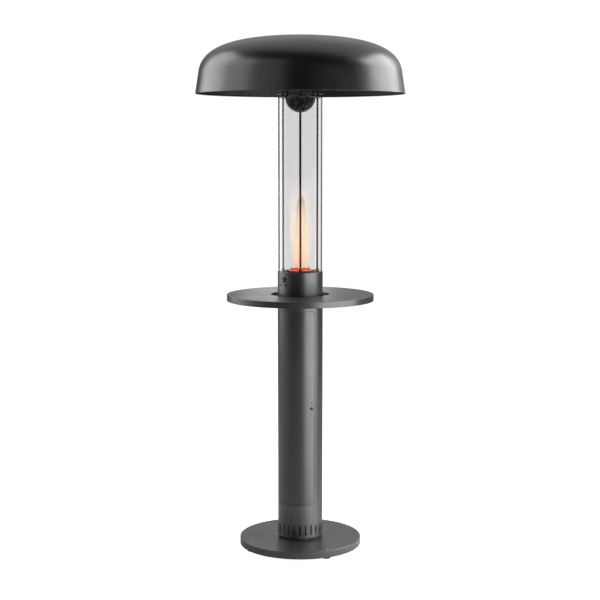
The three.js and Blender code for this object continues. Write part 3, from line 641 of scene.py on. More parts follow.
def casting(name, color, rough, metal):
    """Sand-cast metal: pitted, with darker and lighter patches."""
    material, tree, shader = new_material(name)
    patches = mottle(tree, 55, 6, 0.35, 0.7)
    dress(tree, shader, metal=metal, color=blend_colors(tree, patches, color, tuple(c * 1.5 for c in color)),
          rough=mottle(tree, 120, 4, 0.3, 0.7, rough - 0.1, rough + 0.12))
    bumps(tree, shader, (noise(tree, 420, 5, 0.7), 0.35, 0.0006))
    return material


def moulded(name, color, rough, grain=0.2):
    """Moulded plastic, rubber or ceramic with a fine grain and light rub marks."""
    material, tree, shader = new_material(name)
    rubbed = tuple(min(c * 1.5 + 0.004, 0.9) for c in color)
    dress(tree, shader, color=blend_colors(tree, mottle(tree, 40, 6, 0.45, 0.75), color, rubbed),
          rough=mottle(tree, 90, 3, 0.3, 0.7, rough - 0.06, rough + 0.08))
    bumps(tree, shader, (noise(tree, 1600, 2), grain, 0.0003))
    return material


def clear_glass(name):
    """Heat-proof glass with a faint film: smoke grey face on and clear aslant, a tint set by view angle that
    paints light into the edges, and a painted dark outline that stands in for the shade refraction makes
    there.
    """
    material, tree, shader = new_material(name)
    film = mottle(tree, 12, 5, 0.45, 0.8)
    tint = blend_colors(tree, film, (0.80, 0.80, 0.815), (0.78, 0.78, 0.79))
    edge = tree.nodes.new("ShaderNodeLayerWeight")
    edge.inputs["Blend"].default_value = 0.5
    facing = edge.outputs["Facing"]
    # Painted light: the grey tint fades to clear where the glass is seen aslant, brightening its edges.
    tone = blend_colors(tree, remap(tree, facing, 0.22, 0.42, 0, 1, True), tint, (1, 1, 1))
    # Painted shade: a dark line along the tube's outer outline.
    outline = times(tree, remap(tree, facing, 0.57, 0.68, 0, 1, True), outer_wall(tree, GLASS_R))
    dress(tree, shader, color=blend_colors(tree, outline, tone, (0.03, 0.03, 0.032)),
          rough=times(tree, film, 0.01))
    shader.inputs["Transmission Weight"].default_value = 1.0
    shader.inputs["IOR"].default_value = 1.474
    shader.inputs["Specular Tint"].default_value = (0.15, 0.15, 0.15, 1)
    return material


def woven_fibre(name):
    material, tree, shader = new_material(name)
    weave = tree.nodes.new("ShaderNodeTexWave")
    weave.inputs["Scale"].default_value = 180
    weave.inputs["Distortion"].default_value = 2
    tree.links.new(own_place(tree), weave.inputs["Vector"])
    threads = weave.outputs["Fac"]
    dress(tree, shader, rough=0.9,
          color=blend_colors(tree, threads, (0.05, 0.048, 0.045), (0.1, 0.095, 0.09)))
    bumps(tree, shader, (threads, 0.5, 0.0005))
    return material


def glowing_ceramic(name):
    """Perforated ceramic at red heat: uneven orange, yellower in its ports."""
    material, tree, shader = new_material(name)
    cells = tree.nodes.new("ShaderNodeTexVoronoi")
    cells.inputs["Scale"].default_value = 260
    tree.links.new(own_place(tree), cells.inputs["Vector"])
    ports = remap(tree, cells.outputs["Distance"], 0.1, 0.6, 1, 0)
    patches = mottle(tree, 45, 4, 0.35, 0.65)
    glow_colors = blend_colors(tree, patches, (0.6, 0.06, 0.008), (0.85, 0.13, 0.022))
    glow_colors = blend_colors(tree, times(tree, ports, 0.35), glow_colors, (1.0, 0.42, 0.12))
    dress(tree, shader, color=blend_colors(tree, patches, (0.4, 0.14, 0.07), (0.55, 0.24, 0.12)),
          rough=0.8, glow=glow_colors, power=1.0)
    bumps(tree, shader, (ports, 0.3, 0.0008))
    return material


def height_ramp(tree, bottom, top, stops):
    """A colour ramp over height, in millimetres. stops are (share of the height, (r, g, b))."""
    split = tree.nodes.new("ShaderNodeSeparateXYZ")
    tree.links.new(own_place(tree), split.inputs[0])
    share = remap(tree, split.outputs["Z"], bottom * MM, top * MM, 0, 1)
    ramp = tree.nodes.new("ShaderNodeValToRGB")
    for k, (position, color) in enumerate(stops):
        stop = ramp.color_ramp.elements[k] if k < 2 else ramp.color_ramp.elements.new(position)
        stop.position = position
        stop.color = (*color, 1)
    tree.links.new(share, ramp.inputs["Fac"])
    return ramp.outputs["Color"]


def flame_gas(name, bottom, top, colors, veil):
    """Burning gas: a thin glowing veil that fades out upwards in wisps. veil is how dense it is."""
    material, tree, shader = new_material(name)
    dress(tree, shader, color=(0, 0, 0, 1), level=0.0, rough=1.0,
          glow=height_ramp(tree, bottom, top, colors), power=1.35)
    fade = height_ramp(tree, bottom, top, [(s, (v, v, v)) for s, v in veil])
    wisps = remap(tree, noise(tree, 14, 3, 0.5, (1.6, 1.6, 0.5)), 0.3, 0.7, 0.35, 1.3)
    tree.links.new(times(tree, fade, wisps), shader.inputs["Alpha"])
    return material


COAT = powder_coat("powder_coat", (0.011, 0.0113, 0.0118), 0.36)
# The shade's coat is a darker copy of the powder coat: painted shade, darkening the dome where little light
# falls on it.
SHADE_COAT_PAINTED_DARKER = powder_coat("shade_coat", (0.004, 0.0042, 0.0046), 0.3)
BLACK = black_metal("black_steel", 0.4)
ENAMEL = gloss_enamel("gloss_enamel")
ROD = scaled_rod_painted_glow("scaled_rod_painted_glow", RING_TOP, RING_TOP + 420)
SHADE_INSIDE = shade_inside("shade_inside")
ZINC = bare_metal("zinc_steel", (0.48, 0.49, 0.51), 0.36)
DULL_ZINC = bare_metal("dull_zinc", (0.3, 0.305, 0.315), 0.46)
ZINC_SHEET = bare_metal("zinc_sheet", (0.42, 0.43, 0.45), 0.42, (1, 1, 0.05))
BRASS = bare_metal("turned_brass", (0.62, 0.45, 0.19), 0.3)
IRON = casting("black_casting", (0.02, 0.02, 0.021), 0.7, 0.3)
DIECAST = casting("die_casting", (0.3, 0.31, 0.32), 0.5, 0.9)
RUBBER = moulded("foot_rubber", (0.013, 0.013, 0.013), 0.75)
PLASTIC = moulded("black_plastic", (0.016, 0.017, 0.018), 0.42)
GREY_PLASTIC = moulded("grey_plastic", (0.17, 0.18, 0.19), 0.45)
CERAMIC = moulded("electrode_ceramic", (0.55, 0.53, 0.47), 0.35, 0.05)
GASKET = woven_fibre("gasket_fibre")
GLASS = clear_glass("heat_glass")
GLOW = glowing_ceramic("glowing_ceramic")


# ---------------------------------------------------------------- base and plinth
def make_base():
    inside = BASE_R - COVER_WALL
    cover = [(50, BASE_TOP - COVER_WALL), (inside, BASE_TOP - COVER_WALL, 2), (inside, BASE_LOW),
             (BASE_R, BASE_LOW), (BASE_R, BASE_TOP, 1.6), (50, BASE_TOP)]
    stand_for(lathe(cover, COAT, 240, 0.8, 4), "base_cover")

    stand_for(lathe(disc_line(*sizes("ballast_plate")), IRON, 200, 1.5), "ballast_plate")

    foot_top = high("foot_1").z
    foot = [(0, 0), (15, 0, 0.3), (15, 0.8, 0.3), (17, 0.8), (19, 3), (19, 6, 0.3), (18.2, 6.6, 0.3),
            (18.2, 7.4, 0.3), (19, 8, 0.3), (19, foot_top), (0, foot_top)]
    for k, quarter in enumerate(QUARTERS, 1):
        spot = (FOOT_CIRCLE, 0, 0)
        piece = place(lathe(foot, RUBBER, 64, 0.8), spot, FOOT_ANGLE + quarter)
        stand_for(piece, f"foot_{k}")
        name = f"base_screw_{k}"
        seat, head = BASE_TOP + GAP, high(name).z
        screw = button_screw(5.2, head - seat, 3, seat - low(name).z, DULL_ZINC)
        screw = place(screw, (FOOT_CIRCLE, 0, seat), FOOT_ANGLE + quarter, roll=17 * k)
        stand_for(screw, name)

    edge, spigot, bore = COLUMN_R - 8, COLUMN_BORE - GAP, 50
    plinth_low, plinth_top = span("plinth_ring")
    plinth = [(bore, plinth_low), (edge, plinth_low), (edge, COLUMN_LOW, 0.3), (spigot, COLUMN_LOW),
              (spigot, plinth_top), (bore, plinth_top)]
    stand_for(lathe(plinth, IRON, 180, 0.6), "plinth_ring")
    for k, third in enumerate(THIRDS, 1):
        name = f"plinth_bolt_{k}"
        seat = plinth_top + GAP
        bolt = hex_bolt(9, high(name).z - seat, 5, seat - low(name).z, ZINC)
        stand_for(place(bolt, ((bore + edge) / 2, 0, seat), 90 + third, roll=11 * k), name)


# ---------------------------------------------------------------- column and door
def door_outline(grow):
    half = math.radians(DOOR_SWEEP / 2) * COLUMN_R
    return rounded_outline(-half - grow, half + grow, DOOR_LOW - grow, DOOR_TOP + grow, DOOR_CORNER + grow)


def make_column():
    shell = lathe(tube_line(COLUMN_BORE, COLUMN_R, COLUMN_LOW, COLUMN_TOP), COAT, 240, 0.5)
    cutters = bmesh.new()
    bent_plate(cutters, door_outline(DOOR_GAP), COLUMN_BORE - 4, COLUMN_R + 4, FIXED_SIDE + 180)
    for k in range(VENT_COUNT):
        angle = VENT_TURN - 90 + 360 / VENT_COUNT * k
        slot_cutter(cutters, angle, VENT_WIDTH, VENT_LOW, VENT_TOP, COLUMN_BORE - 4, COLUMN_R + 4)
    hole_cutter(cutters, 9.5, FIXED_SIDE, INLET_Z, COLUMN_BORE - 6, COLUMN_R + 6)
    stand_for(carve(shell, cutters), "column_shell")


def make_door():
    bm = bmesh.new()
    bent_plate(bm, door_outline(0), COLUMN_BORE, COLUMN_R, FIXED_SIDE + 180, edge=0.45)
    panel = to_piece(bm, COAT)
    holes = bmesh.new()
    hole_cutter(holes, 5.3, LOCK_ANGLE, LOCK_Z, COLUMN_BORE - 6, COLUMN_R + 6)
    screw_heights = [middle(f"lock_screw_{k}").z for k in (1, 2)]
    for z in screw_heights:
        hole_cutter(holes, 1.5, LOCK_ANGLE, z, COLUMN_BORE - 6, COLUMN_R + 6, 24)
    stand_for(carve(panel, holes), "door_panel", "door")

    for k, z in enumerate(screw_heights, 1):
        screw = on_wall(button_screw(2.5, 1.2, 1.25, 7, BLACK), LOCK_ANGLE, z, COLUMN_R + GAP)
        stand_for(screw, f"lock_screw_{k}", "door")

    cam_face = COLUMN_R - 8
    body = [(3.25, cam_face + GAP), (5, cam_face + GAP), (5, COLUMN_R + GAP, 0), (7, COLUMN_R + GAP, 0.1),
            (7, COLUMN_R + 1.1, 0.5), (5.6, COLUMN_R + 1.7, 0.3), (3.25, COLUMN_R + 1.7)]
    nut = place(hex_nut(7, 6, 5, BLACK), (0, 0, COLUMN_BORE - 7.2))
    housing = on_wall(joined([lathe(body, BLACK, 64, 0.2), nut]), LOCK_ANGLE, LOCK_Z)
    stand_for(housing, "lock_housing", "door")

    plug_line = disc_line(3, cam_face - 1.2, COLUMN_R + GAP + 2)
    plug = along_x(lathe(plug_line, BLACK, 48, 0.3))
    keyway = bmesh.new()
    block(keyway, COLUMN_R + 1, COLUMN_R + 4, -0.4, 0.4, -1.8, 1.8)
    plug = carve(plug, keyway)
    arm = bmesh.new()
    reach = high("lock_cam").z - LOCK_Z
    outline = rounded_outline(-4.5, 4.5, -4.5, reach, 4.2, 8)
    prism(arm, [(cam_face - 2.5, u, z) for u, z in outline], (2.5, 0, 0))
    soften(arm, 0.35, 2)
    cam = joined([plug, to_piece(arm, ZINC)])
    stand_for(place(cam, (0, 0, LOCK_Z), LOCK_ANGLE), "lock_cam", "lock")


def hinge_knuckle(bottom, top, bore):
    line = tube_line(bore, KNUCKLE_R, bottom, top) if bore else disc_line(KNUCKLE_R, bottom, top)
    return place(lathe(line, BLACK, 40, 0.35, 2), (PIN_CIRCLE, 0, 0), HINGE_ANGLE)


def hinge_leaf(first, last, bottom, top):
    """A leaf wrapped on the column between two angles from the hinge."""
    bm = bmesh.new()
    arc = [math.radians(a) * COLUMN_R for a in (first, last)]
    inner = COLUMN_R + GAP
    bent_plate(bm, rounded_outline(*arc, bottom, top, 1.2, 3), inner, inner + 1.5, HINGE_ANGLE, 0.3)
    return to_piece(bm, BLACK)


def make_hinges():
    for label in ("upper", "lower"):
        fixed, moving = f"hinge_{label}_fixed_leaf", f"hinge_{label}_door_leaf"
        bottom, top = span(fixed)
        middle_low, middle_high = (bottom + top) / 2 - 10, (bottom + top) / 2 + 10
        lower_end, upper_end = middle_low - KNUCKLE_GAP, middle_high + KNUCKLE_GAP
        pin = lathe(disc_line(1.5, bottom, top), BLACK, 24, 0.2, 2)
        place(pin, (PIN_CIRCLE, 0, 0), HINGE_ANGLE)
        parts = [hinge_leaf(-12, -2.6, bottom, top),
                 hinge_leaf(-3, -0.4, bottom, lower_end), hinge_leaf(-3, -0.4, upper_end, top),
                 hinge_knuckle(bottom, lower_end, 0), hinge_knuckle(upper_end, top, 0), pin]
        parts += [leaf_screw(-7.5, z) for z in (bottom + 10, top - 10)]
        stand_for(joined(parts), fixed)
        parts = [hinge_leaf(2.6, 12, bottom, top), hinge_leaf(0.4, 3, middle_low, middle_high),
                 hinge_knuckle(middle_low, middle_high, 1.7)]
        parts += [leaf_screw(7.5, z) for z in (bottom + 10, top - 10)]
        stand_for(joined(parts), moving, "door")


def leaf_screw(offset, z):
    """A domed rivet head on a hinge leaf."""
    top = COLUMN_R + GAP + 1.5
    dome = [(0, top - 1), (2.6, top - 1, 0), (2.6, top + 0.1, 0), (2.1, top + 0.7, 0), (1.2, top + 1.1, 0),
            (0, top + 1.2, 0)]
    return on_wall(lathe(dome, BLACK, 28, 0.2, 2), HINGE_ANGLE + offset, z)


# ---------------------------------------------------------------- table
def make_table():
    wall, lip_top = 3, TABLE_TOP - 14
    skirt, lip_bore = TABLE_HOLE + wall, TABLE_HOLE - 20
    tray = [(lip_bore, lip_top - wall), (skirt, lip_top - wall, 2), (skirt, TABLE_TOP - wall, 1),
            (TABLE_R - wall, TABLE_TOP - wall, 1), (TABLE_R - wall, TABLE_LOW), (TABLE_R, TABLE_LOW),
            (TABLE_R, TABLE_TOP, 1.5), (TABLE_HOLE, TABLE_TOP, 1.5), (TABLE_HOLE, lip_top, 1),
            (lip_bore, lip_top)]
    stand_for(lathe(tray, COAT, 240, 0.8, 4), "table_top")
    ring = "table_support_ring"
    support = tube_line(60, *sizes(ring))
    stand_for(lathe(support, COAT, 180, 0.6), ring)
    for k, third in enumerate(THIRDS, 1):
        name = f"table_screw_{k}"
        seat = lip_top + GAP
        screw = button_screw(6.5, high(name).z - seat, 3, seat - low(name).z, ZINC)
        spot = (TABLE_HOLE - 8.5 - wall / 2 - 1.5, 0, seat)
        stand_for(place(screw, spot, 20 + third, roll=13 * k), name)


# ---------------------------------------------------------------- burner head
def make_head():
    ring = lathe(tube_line(COLUMN_BORE, COLUMN_R, RING_LOW, RING_TOP), COAT, 240, 0.6)
    hole = bmesh.new()
    hole_cutter(hole, 10.1, BUTTON_ANGLE, BUTTON_Z, COLUMN_BORE - 6, COLUMN_R + 6, 64)
    stand_for(carve(ring, hole), "head_ring")

    face = COLUMN_R + 2.2
    bezel = [(8.5, face - 12), (9.8, face - 12), (9.8, COLUMN_R + GAP, 0), (11, COLUMN_R + GAP, 0.1),
             (11, face - 0.7, 0.6), (10.2, face, 0.5), (9, face, 0.4), (8.5, face - 0.8, 0.3)]
    piece = on_wall(lathe(bezel, RUBBER, 80, 0.2), BUTTON_ANGLE, BUTTON_Z)
    stand_for(piece, "button_bezel")
    crown = face + 3.2
    button = [(0, face - 15), (8.2, face - 15), (8.2, crown - 0.9, 0.8), (7.2, crown, 0.8), (5.6, crown, 1),
              (4.4, crown - 0.7, 1.4), (0, crown - 1, 0)]
    piece = on_wall(lathe(button, COAT, 80, 0.4), BUTTON_ANGLE, BUTTON_Z)
    stand_for(piece, "ignition_button", "button")

    for k, (angle, head) in enumerate(((-129, 5.5), (-147, 4)), 1):
        screw = on_wall(button_screw(head, 1.5, 1.4, 1, RUBBER), angle, RING_TOP - 50, COLUMN_R + 0.1)
        shown(screw, f"ring_screw_{k}", None, "root")

    deck_top, seat = high("burner_deck").z, low("glass_gasket_lower").z - GAP
    plate_edge, thick, flange = GLASS_BORE - GAP, 2, COLUMN_BORE - GAP
    wall = plate_edge - thick
    deck = [(17, deck_top - thick), (wall, deck_top - thick, 1), (wall, seat - thick), (flange, seat - thick),
            (flange, seat), (plate_edge, seat), (plate_edge, deck_top, 1.2), (17, deck_top)]
    stand_for(lathe(deck, BLACK, 180, 0.5), "burner_deck")
    for name in ("glass_gasket_lower", "glass_gasket_upper"):
        band = tube_line(GLASS_BORE, GLASS_R, *span(name))
        stand_for(lathe(band, GASKET, 160, 0.5), name)


def make_burner():
    pan_r, pan_low, pan_top = sizes("burner_pan")
    bore = 14.3
    pan = [(bore, pan_low), (pan_r, pan_low), (pan_r, pan_top, 0.6), (pan_r - 1.5, pan_top, 0.4),
           (pan_r - 1.5, pan_low + 1.5), (bore, pan_low + 1.5)]
    stand_for(lathe(pan, BLACK, 140, 0.5), "burner_pan")

    plate_r, plate_low, plate_top = sizes("burner_plate")
    edge = [(0, plate_low), (plate_r, plate_low), (plate_r, plate_top, 1), (0, plate_top)]
    plate = lathe(edge, GLOW, 120, 0.5)
    ports = bmesh.new()
    for circle, count in ((9, 6), (18, 12), (27, 18), (36, 24), (43, 30)):
        for k in range(count):
            spot = polar(circle, 360 / count * k)
            bar(ports, 1.3, spot + Vector((0, 0, plate_low + 1.5)), spot + Vector((0, 0, plate_top + 1)), 10)
    stand_for(carve(plate, ports), "burner_plate")

    tube_low, tube_top = span("mixing_tube")
    wall = lathe(tube_line(12.5, 14, tube_low, tube_top), ZINC, 72, 0.4)
    holes = bmesh.new()
    for angle in (0, 90):
        out = polar(16, angle, tube_low + 16)
        back = polar(-16, angle, tube_low + 16)
        bar(holes, 5, out, back, 32)
    stand_for(carve(wall, holes), "mixing_tube")

    circle = pan_r + 3.4
    for name, angle in (("spark_electrode", 75), ("flame_sensor", 110)):
        bottom, tip = span(name)
        stem = [(0, bottom), (2.2, bottom), (2.2, tip - 7, 0.6), (0.9, tip - 5.5, 0.2), (0, tip - 5.5)]
        shaft = lathe(stem, CERAMIC, 36, 0.4)
        place(shaft, (circle, 0, 0))
        path = [(circle, 0, tip - 7), (circle, 0, tip - 3), (circle - 1, 0, tip - 1.6),
                (circle - 3, 0, tip - 1.0), (circle - 9, 0, tip - 1.1), (plate_r - 6, 0, tip - 2.6)]
        piece = joined([shaft, pipe(path, 0.9, CERAMIC, 16)])
        stand_for(place(piece, turn=angle), name)


def make_glass():
    tube = tube_line(GLASS_BORE, GLASS_R, GLASS_LOW, GLASS_TOP)
    stand_for(lathe(tube, GLASS, 240, 0.8), "glass_tube")

    foot_low, foot_high = RING_TOP + GAP, RING_TOP + GAP + 12
    collar = COLLAR_LOW - GAP
    head = high("tie_rod_1").z
    rod = [(0, low("tie_rod_1").z), (ROD_R, low("tie_rod_1").z), (ROD_R, foot_low, 0), (6.3, foot_low, 0),
           (7, foot_low + 1, 0), (7, foot_high - 1, 0), (6.3, foot_high, 0), (ROD_R, foot_high, 0),
           (ROD_R, collar - 6, 0), (6.3, collar - 6, 0), (7, collar - 5.2, 0), (7, collar - 0.8, 0),
           (6.3, collar, 0), (ROD_R, collar, 0), (ROD_R, head, 1), (0, head)]
    spin = six_sided(7, lambda r, z: r > ROD_R + 0.1)
    for k, quarter in enumerate(QUARTERS, 1):
        piece = place(lathe(rod, ROD, 48, 0.6, 3, spin), roll=19 * k)
        piece = place(piece, (ROD_CIRCLE, 0, 0), ROD_TURN + quarter)
        stand_for(piece, f"tie_rod_{k}")


# ---------------------------------------------------------------- collar, deflector and shade
LEG_CIRCLE = COLLAR_R - 20.5
LEG_ANGLES = [ROD_TURN + 45 + quarter for quarter in QUARTERS]


def make_collar():
    inner = COLLAR_R - 21
    rings = [lathe(tube_line(inner, COLLAR_R - 3, COLLAR_LOW, COLLAR_LOW + 3), BLACK, 180, 0.5),
             lathe(tube_line(inner, COLLAR_R, COLLAR_TOP - 3.5, COLLAR_TOP), BLACK, 180, 0.7),
             lathe(tube_line(5.3, 18, COLLAR_LOW, COLLAR_LOW + 6), BLACK, 72)]
    for k in (0, 1):
        bm = bmesh.new()
        reach = COLLAR_R - 10.5
        for side in (-1, 1):
            block(bm, side * 12, side * reach, -8, 8, COLLAR_LOW + 0.05, COLLAR_LOW + 4)
        soften(bm, 0.5, 2)
        spoke = to_piece(bm, BLACK)
        rings.append(place(spoke, turn=ROD_TURN + 90 * k))
    for angle in LEG_ANGLES:
        post = lathe(disc_line(5, COLLAR_LOW + 0.1, COLLAR_TOP - 1), BLACK, 40)
        rings.append(place(post, (LEG_CIRCLE, 0, 0), angle))
    stand_for(joined(rings), "top_collar")

    radius, wall, stud = high("deflector_bowl").x, 1.5, 5
    top = BOWL_LOW + radius
    turns = [math.radians(3 * k) for k in range(1, 31)]
    bowl = [(0, BOWL_LOW, 0)] + [(radius * math.sin(t), top - radius * math.cos(t), 0) for t in turns]
    inside = radius - wall
    bowl += [(inside * math.sin(t), top - inside * math.cos(t), 0) for t in reversed(turns[1:])]
    bowl += [(stud, BOWL_LOW + wall + 0.2, 0), (stud, high("deflector_bowl").z, 0.8),
             (0, high("deflector_bowl").z)]
    stand_for(lathe(bowl, ENAMEL, 144, 0.4), "deflector_bowl")


def shade_line():
    """The shade's outer line from rim to crown: a drafted wall, then one curve to the apex."""
    draft, wall_height = 14, 90
    rim = Vector((SHADE_R, SHADE_LOW))
    shoulder = Vector((SHADE_R - draft, SHADE_LOW + wall_height))
    slope = (shoulder - rim).normalized()
    handles = [shoulder, shoulder + slope * 100, Vector((260, SHADE_TOP)), Vector((0, SHADE_TOP))]
    line = [rim.lerp(shoulder, t / 8) for t in range(8)]
    for k in range(73):
        t = k / 72
        weights = ((1 - t) ** 3, 3 * t * (1 - t) ** 2, 3 * t * t * (1 - t), t ** 3)
        line.append(sum((h * w for h, w in zip(handles, weights)), Vector((0, 0))))
    return line


def make_shade():
    outer = shade_line()
    inner = []
    for k, point in enumerate(outer):
        along = (outer[min(k + 1, len(outer) - 1)] - outer[max(k - 1, 0)]).normalized()
        inner.append(Vector((max(point.x - along.y * SHEET, 0), point.y + along.x * SHEET)))
    inner[-1] = Vector((0, SHADE_TOP - SHEET))
    lean = 14 / 90
    hem_r, hem_top = SHADE_R - SHEET - 1.6, SHADE_LOW + 5
    hem = [(SHADE_R - SHEET - 0.05 - lean * 5, hem_top, 0), (hem_r - lean * 4, hem_top - 0.6, 0.5),
           (hem_r, SHADE_LOW + 0.9, 0.5), (hem_r + 1, SHADE_LOW, 0.5)]
    skin = [(p.x, p.y, 0) for p in outer]
    skin[0] = (SHADE_R, SHADE_LOW, 0.9)
    profile = [(p.x, p.y, 0) for p in reversed(inner) if p.y > hem_top + 0.5] + hem + skin
    shade = lathe(profile, SHADE_COAT_PAINTED_DARKER, 320, 0)
    shade.data.materials.append(SHADE_INSIDE)
    for face in shade.data.polygons:
        outward = face.normal.x * face.center.x + face.normal.y * face.center.y
        if outward < 0 or face.normal.z < -0.9:
            face.material_index = 1
    stand_for(shade, "shade")

    bracket = "shade_bracket"
    roof, plate_r = high(bracket).z, LEG_CIRCLE + 5.5
    parts = [lathe(disc_line(plate_r, roof - 4, roof), BLACK, 96, 0.5)]
    for angle in LEG_ANGLES:
        leg = lathe(disc_line(4, low(bracket).z, roof - 2), BLACK, 32, 0.4)
        nut = place(hex_nut(8, 5, 4, BLACK), (0, 0, roof - 9.2))
        parts += [place(p, (LEG_CIRCLE, 0, 0), angle) for p in (leg, nut)]
    stand_for(joined(parts), bracket)


# ---------------------------------------------------------------- gas train, in its own turned frame
def in_service(piece, node, body="root"):
    """The service frame's +X points at the column's fixed half."""
    return stand_for(place(piece, turn=FIXED_SIDE), node, body)


def make_gas_train():
    bend, top = 24, high("gas_inlet").z
    path = [(COLUMN_R + 8, 0, INLET_Z), (60, 0, INLET_Z), (bend, 0, INLET_Z)]
    for k in range(1, 12):
        t = k / 12
        path.append((bend * (1 - t) ** 2, 0, INLET_Z + bend * t * t))
    path += [(0, 0, INLET_Z + bend), (0, 0, (INLET_Z + bend + top) / 2), (0, 0, top)]
    barbs = [(6.8, 20), (5.6, 23), (6.8, 26), (5.6, 29), (6.4, 32)]
    hose = [(0, 0), (8, 0), (8, 14), (6, 15), (6, 17), *[(r, z, 0.3) for r, z in barbs], (4.5, 36), (0, 36)]
    nipple = along_x(lathe(hose, BRASS, 48, 0.5), (COLUMN_BORE - 8, 0, INLET_Z))
    nut = along_x(hex_nut(13, 5, 8, BRASS), (COLUMN_R + 1, 0, INLET_Z))
    union = place(hex_nut(8.5, 10, 5, BRASS), (0, 0, top - 12))
    in_service(joined([pipe(path, 5, BRASS), nipple, nut, union]), "gas_inlet")

    bottom, valve_top = span("shutoff_valve")
    centre = (bottom + valve_top) / 2
    shell = [(0, bottom), (11, bottom, 0), (11, bottom + 14, 1), (14, bottom + 18, 2),
             (14, valve_top - 18, 2), (11, valve_top - 14, 1), (11, valve_top, 0), (0, valve_top)]
    spanner_flats = six_sided(11.9, lambda r, z: r > 10 and not bottom + 13 <= z <= valve_top - 13)
    body = lathe(shell, BRASS, 72, 0.5, 4, spanner_flats)
    neck = along_x(lathe(disc_line(7, 0, 20), BRASS, 48, 0.6), (-26.7, 0, centre))
    spindle = along_x(lathe(disc_line(3, 0, 12), BRASS, 36, 0.4), (-34, 0, centre))
    in_service(joined([body, neck, spindle]), "shutoff_valve")

    lever = bmesh.new()
    arm = [(8 * math.cos(math.radians(a)), 8 * math.sin(math.radians(a))) for a in range(150, 391, 12)]
    tip = high("shutoff_lever").z - centre
    arm += [(5, tip - 5)] + [(5 * math.cos(math.radians(a)), tip - 5 + 5 * math.sin(math.radians(a)))
                             for a in range(12, 180, 12)] + [(-5, tip - 5)]
    prism(lever, [(-30, y, z) for y, z in arm], (3, 0, 0))
    soften(lever, 0.6, 3)
    handle = to_piece(lever, GREY_PLASTIC)
    eye = bmesh.new()
    bar(eye, 3.4, (-34, 0, 0), (-20, 0, 0), 32)
    in_service(place(carve(handle, eye), (0, 0, centre)), "shutoff_lever", "gas_lever")

    bottom, top = span("pressure_regulator")
    centre = (bottom + top) / 2
    bell = [(0, -24), (14, -24, 1), (16, -20, 1), (30, -12, 2), (34, -8, 1), (34, -4.4, 0.4),
            (33.2, -4.2, 0.1), (33.2, -3.8, 0.1), (34, -3.6, 0.4), (34, 0, 1), (30, 4, 2), (18, 12, 1),
            (18, 22, 1), (0, 22)]
    parts = [along_x(lathe(bell, IRON, 96, 0.6), (0, 0, centre)),
             lathe(disc_line(8, bottom, top), IRON, 48, 0.6),
             place(hex_nut(9.5, 12, 5, IRON), (0, 0, bottom + 1)),
             place(hex_nut(9.5, 12, 5, IRON), (0, 0, top - 13))]
    for k in range(6):
        turn = TAU * (k + 0.5) / 6
        spot = (-12.6, 27.5 * math.cos(turn), centre + 27.5 * math.sin(turn))
        parts.append(place(place(button_screw(2.6, 1.8, 1.2, 4, IRON), tilt=-90), spot))
    in_service(joined(parts), "pressure_regulator")

    for name in ("supply_pipe", "burner_pipe"):
        line = lathe(disc_line(5, *span(name)), BRASS, 48, 0.4)
        ends = [place(hex_nut(8, 9, 5, BRASS), (0, 0, z)) for z in (low(name).z, high(name).z - 9)]
        in_service(joined([line, *ends]), name)

    bottom, top = span("gas_valve_block")
    bm = bmesh.new()
    block(bm, -16, 29.7, -24, 24, bottom + 8, top - 8)
    soften(bm, 1.2, 3)
    parts = [to_piece(bm, DIECAST), lathe(disc_line(10, bottom, top), DIECAST, 48, 0.8)]
    for y in (-12, 12):
        coil = [(0, 0), (7, 0, 0.6), (7, 1.5, 0.3), (10, 1.5, 0.8), (10, 22, 0.8), (8, 22, 0.3), (8, 26),
                (0, 26)]
        parts.append(along_x(lathe(coil, PLASTIC, 48, 0.5), (-41, y, (bottom + top) / 2)))
    in_service(joined(parts), "gas_valve_block")

    foot, tip = span("injector")
    nozzle = [(0, foot), (8, foot), (8, foot + 12, 0.5), (6, foot + 14, 0.5), (6, tip - 8, 0.5), (2.5, tip),
              (0.6, tip, 0.1), (0.6, tip - 3, 0), (0, tip - 3)]
    hex_foot = six_sided(8, lambda r, z: z < foot + 12.5 and r > 6.2)
    in_service(lathe(nozzle, BRASS, 72, 0.4, 2, hex_foot), "injector")


def make_cases():
    plate = bmesh.new()
    half, flange, x0 = 80.5, 39.5, 30
    bottom, top = span("service_plate")
    section = [(x0, -half), (flange, -half), (flange, -half + 2), (x0 + 2, -half + 2), (x0 + 2, half - 2),
               (flange, half - 2), (flange, half), (x0, half)]
    prism(plate, [(x, y, bottom) for x, y in section], (0, 0, top - bottom))
    soften(plate, 0.5, 2)
    in_service(to_piece(plate, ZINC_SHEET), "service_plate")

    for name, y0, y1, depth, material, slot in (("control_box", 12, 62, 44, GREY_PLASTIC, "grey_plastic"),
                                                ("battery_case", -62, -12, 30, PLASTIC, "black_plastic")):
        bottom, top = span(name)
        front = 29.7 - depth
        body, lid = bmesh.new(), bmesh.new()
        block(body, front, 29.7, y0, y1, bottom, top)
        soften(body, 1.6, 3)
        block(lid, front - 2, front + 1, y0 + 3, y1 - 3, bottom + 3, top - 3)
        soften(lid, 0.8, 3)
        parts = [to_piece(body, material), to_piece(lid, material)]
        for y in (y0 + 8, y1 - 8):
            for z in (bottom + 8, top - 8):
                screw = place(button_screw(2.4, 1.2, 1.2, 2, ZINC), tilt=-90)
                parts.append(place(screw, (front - 1.6, y, z)))
        in_service(joined(parts), name)


make_base()
make_column()
make_door()
make_hinges()
make_table()
make_head()
make_burner()
make_glass()
make_collar()
make_shade()
make_gas_train()
make_cases()


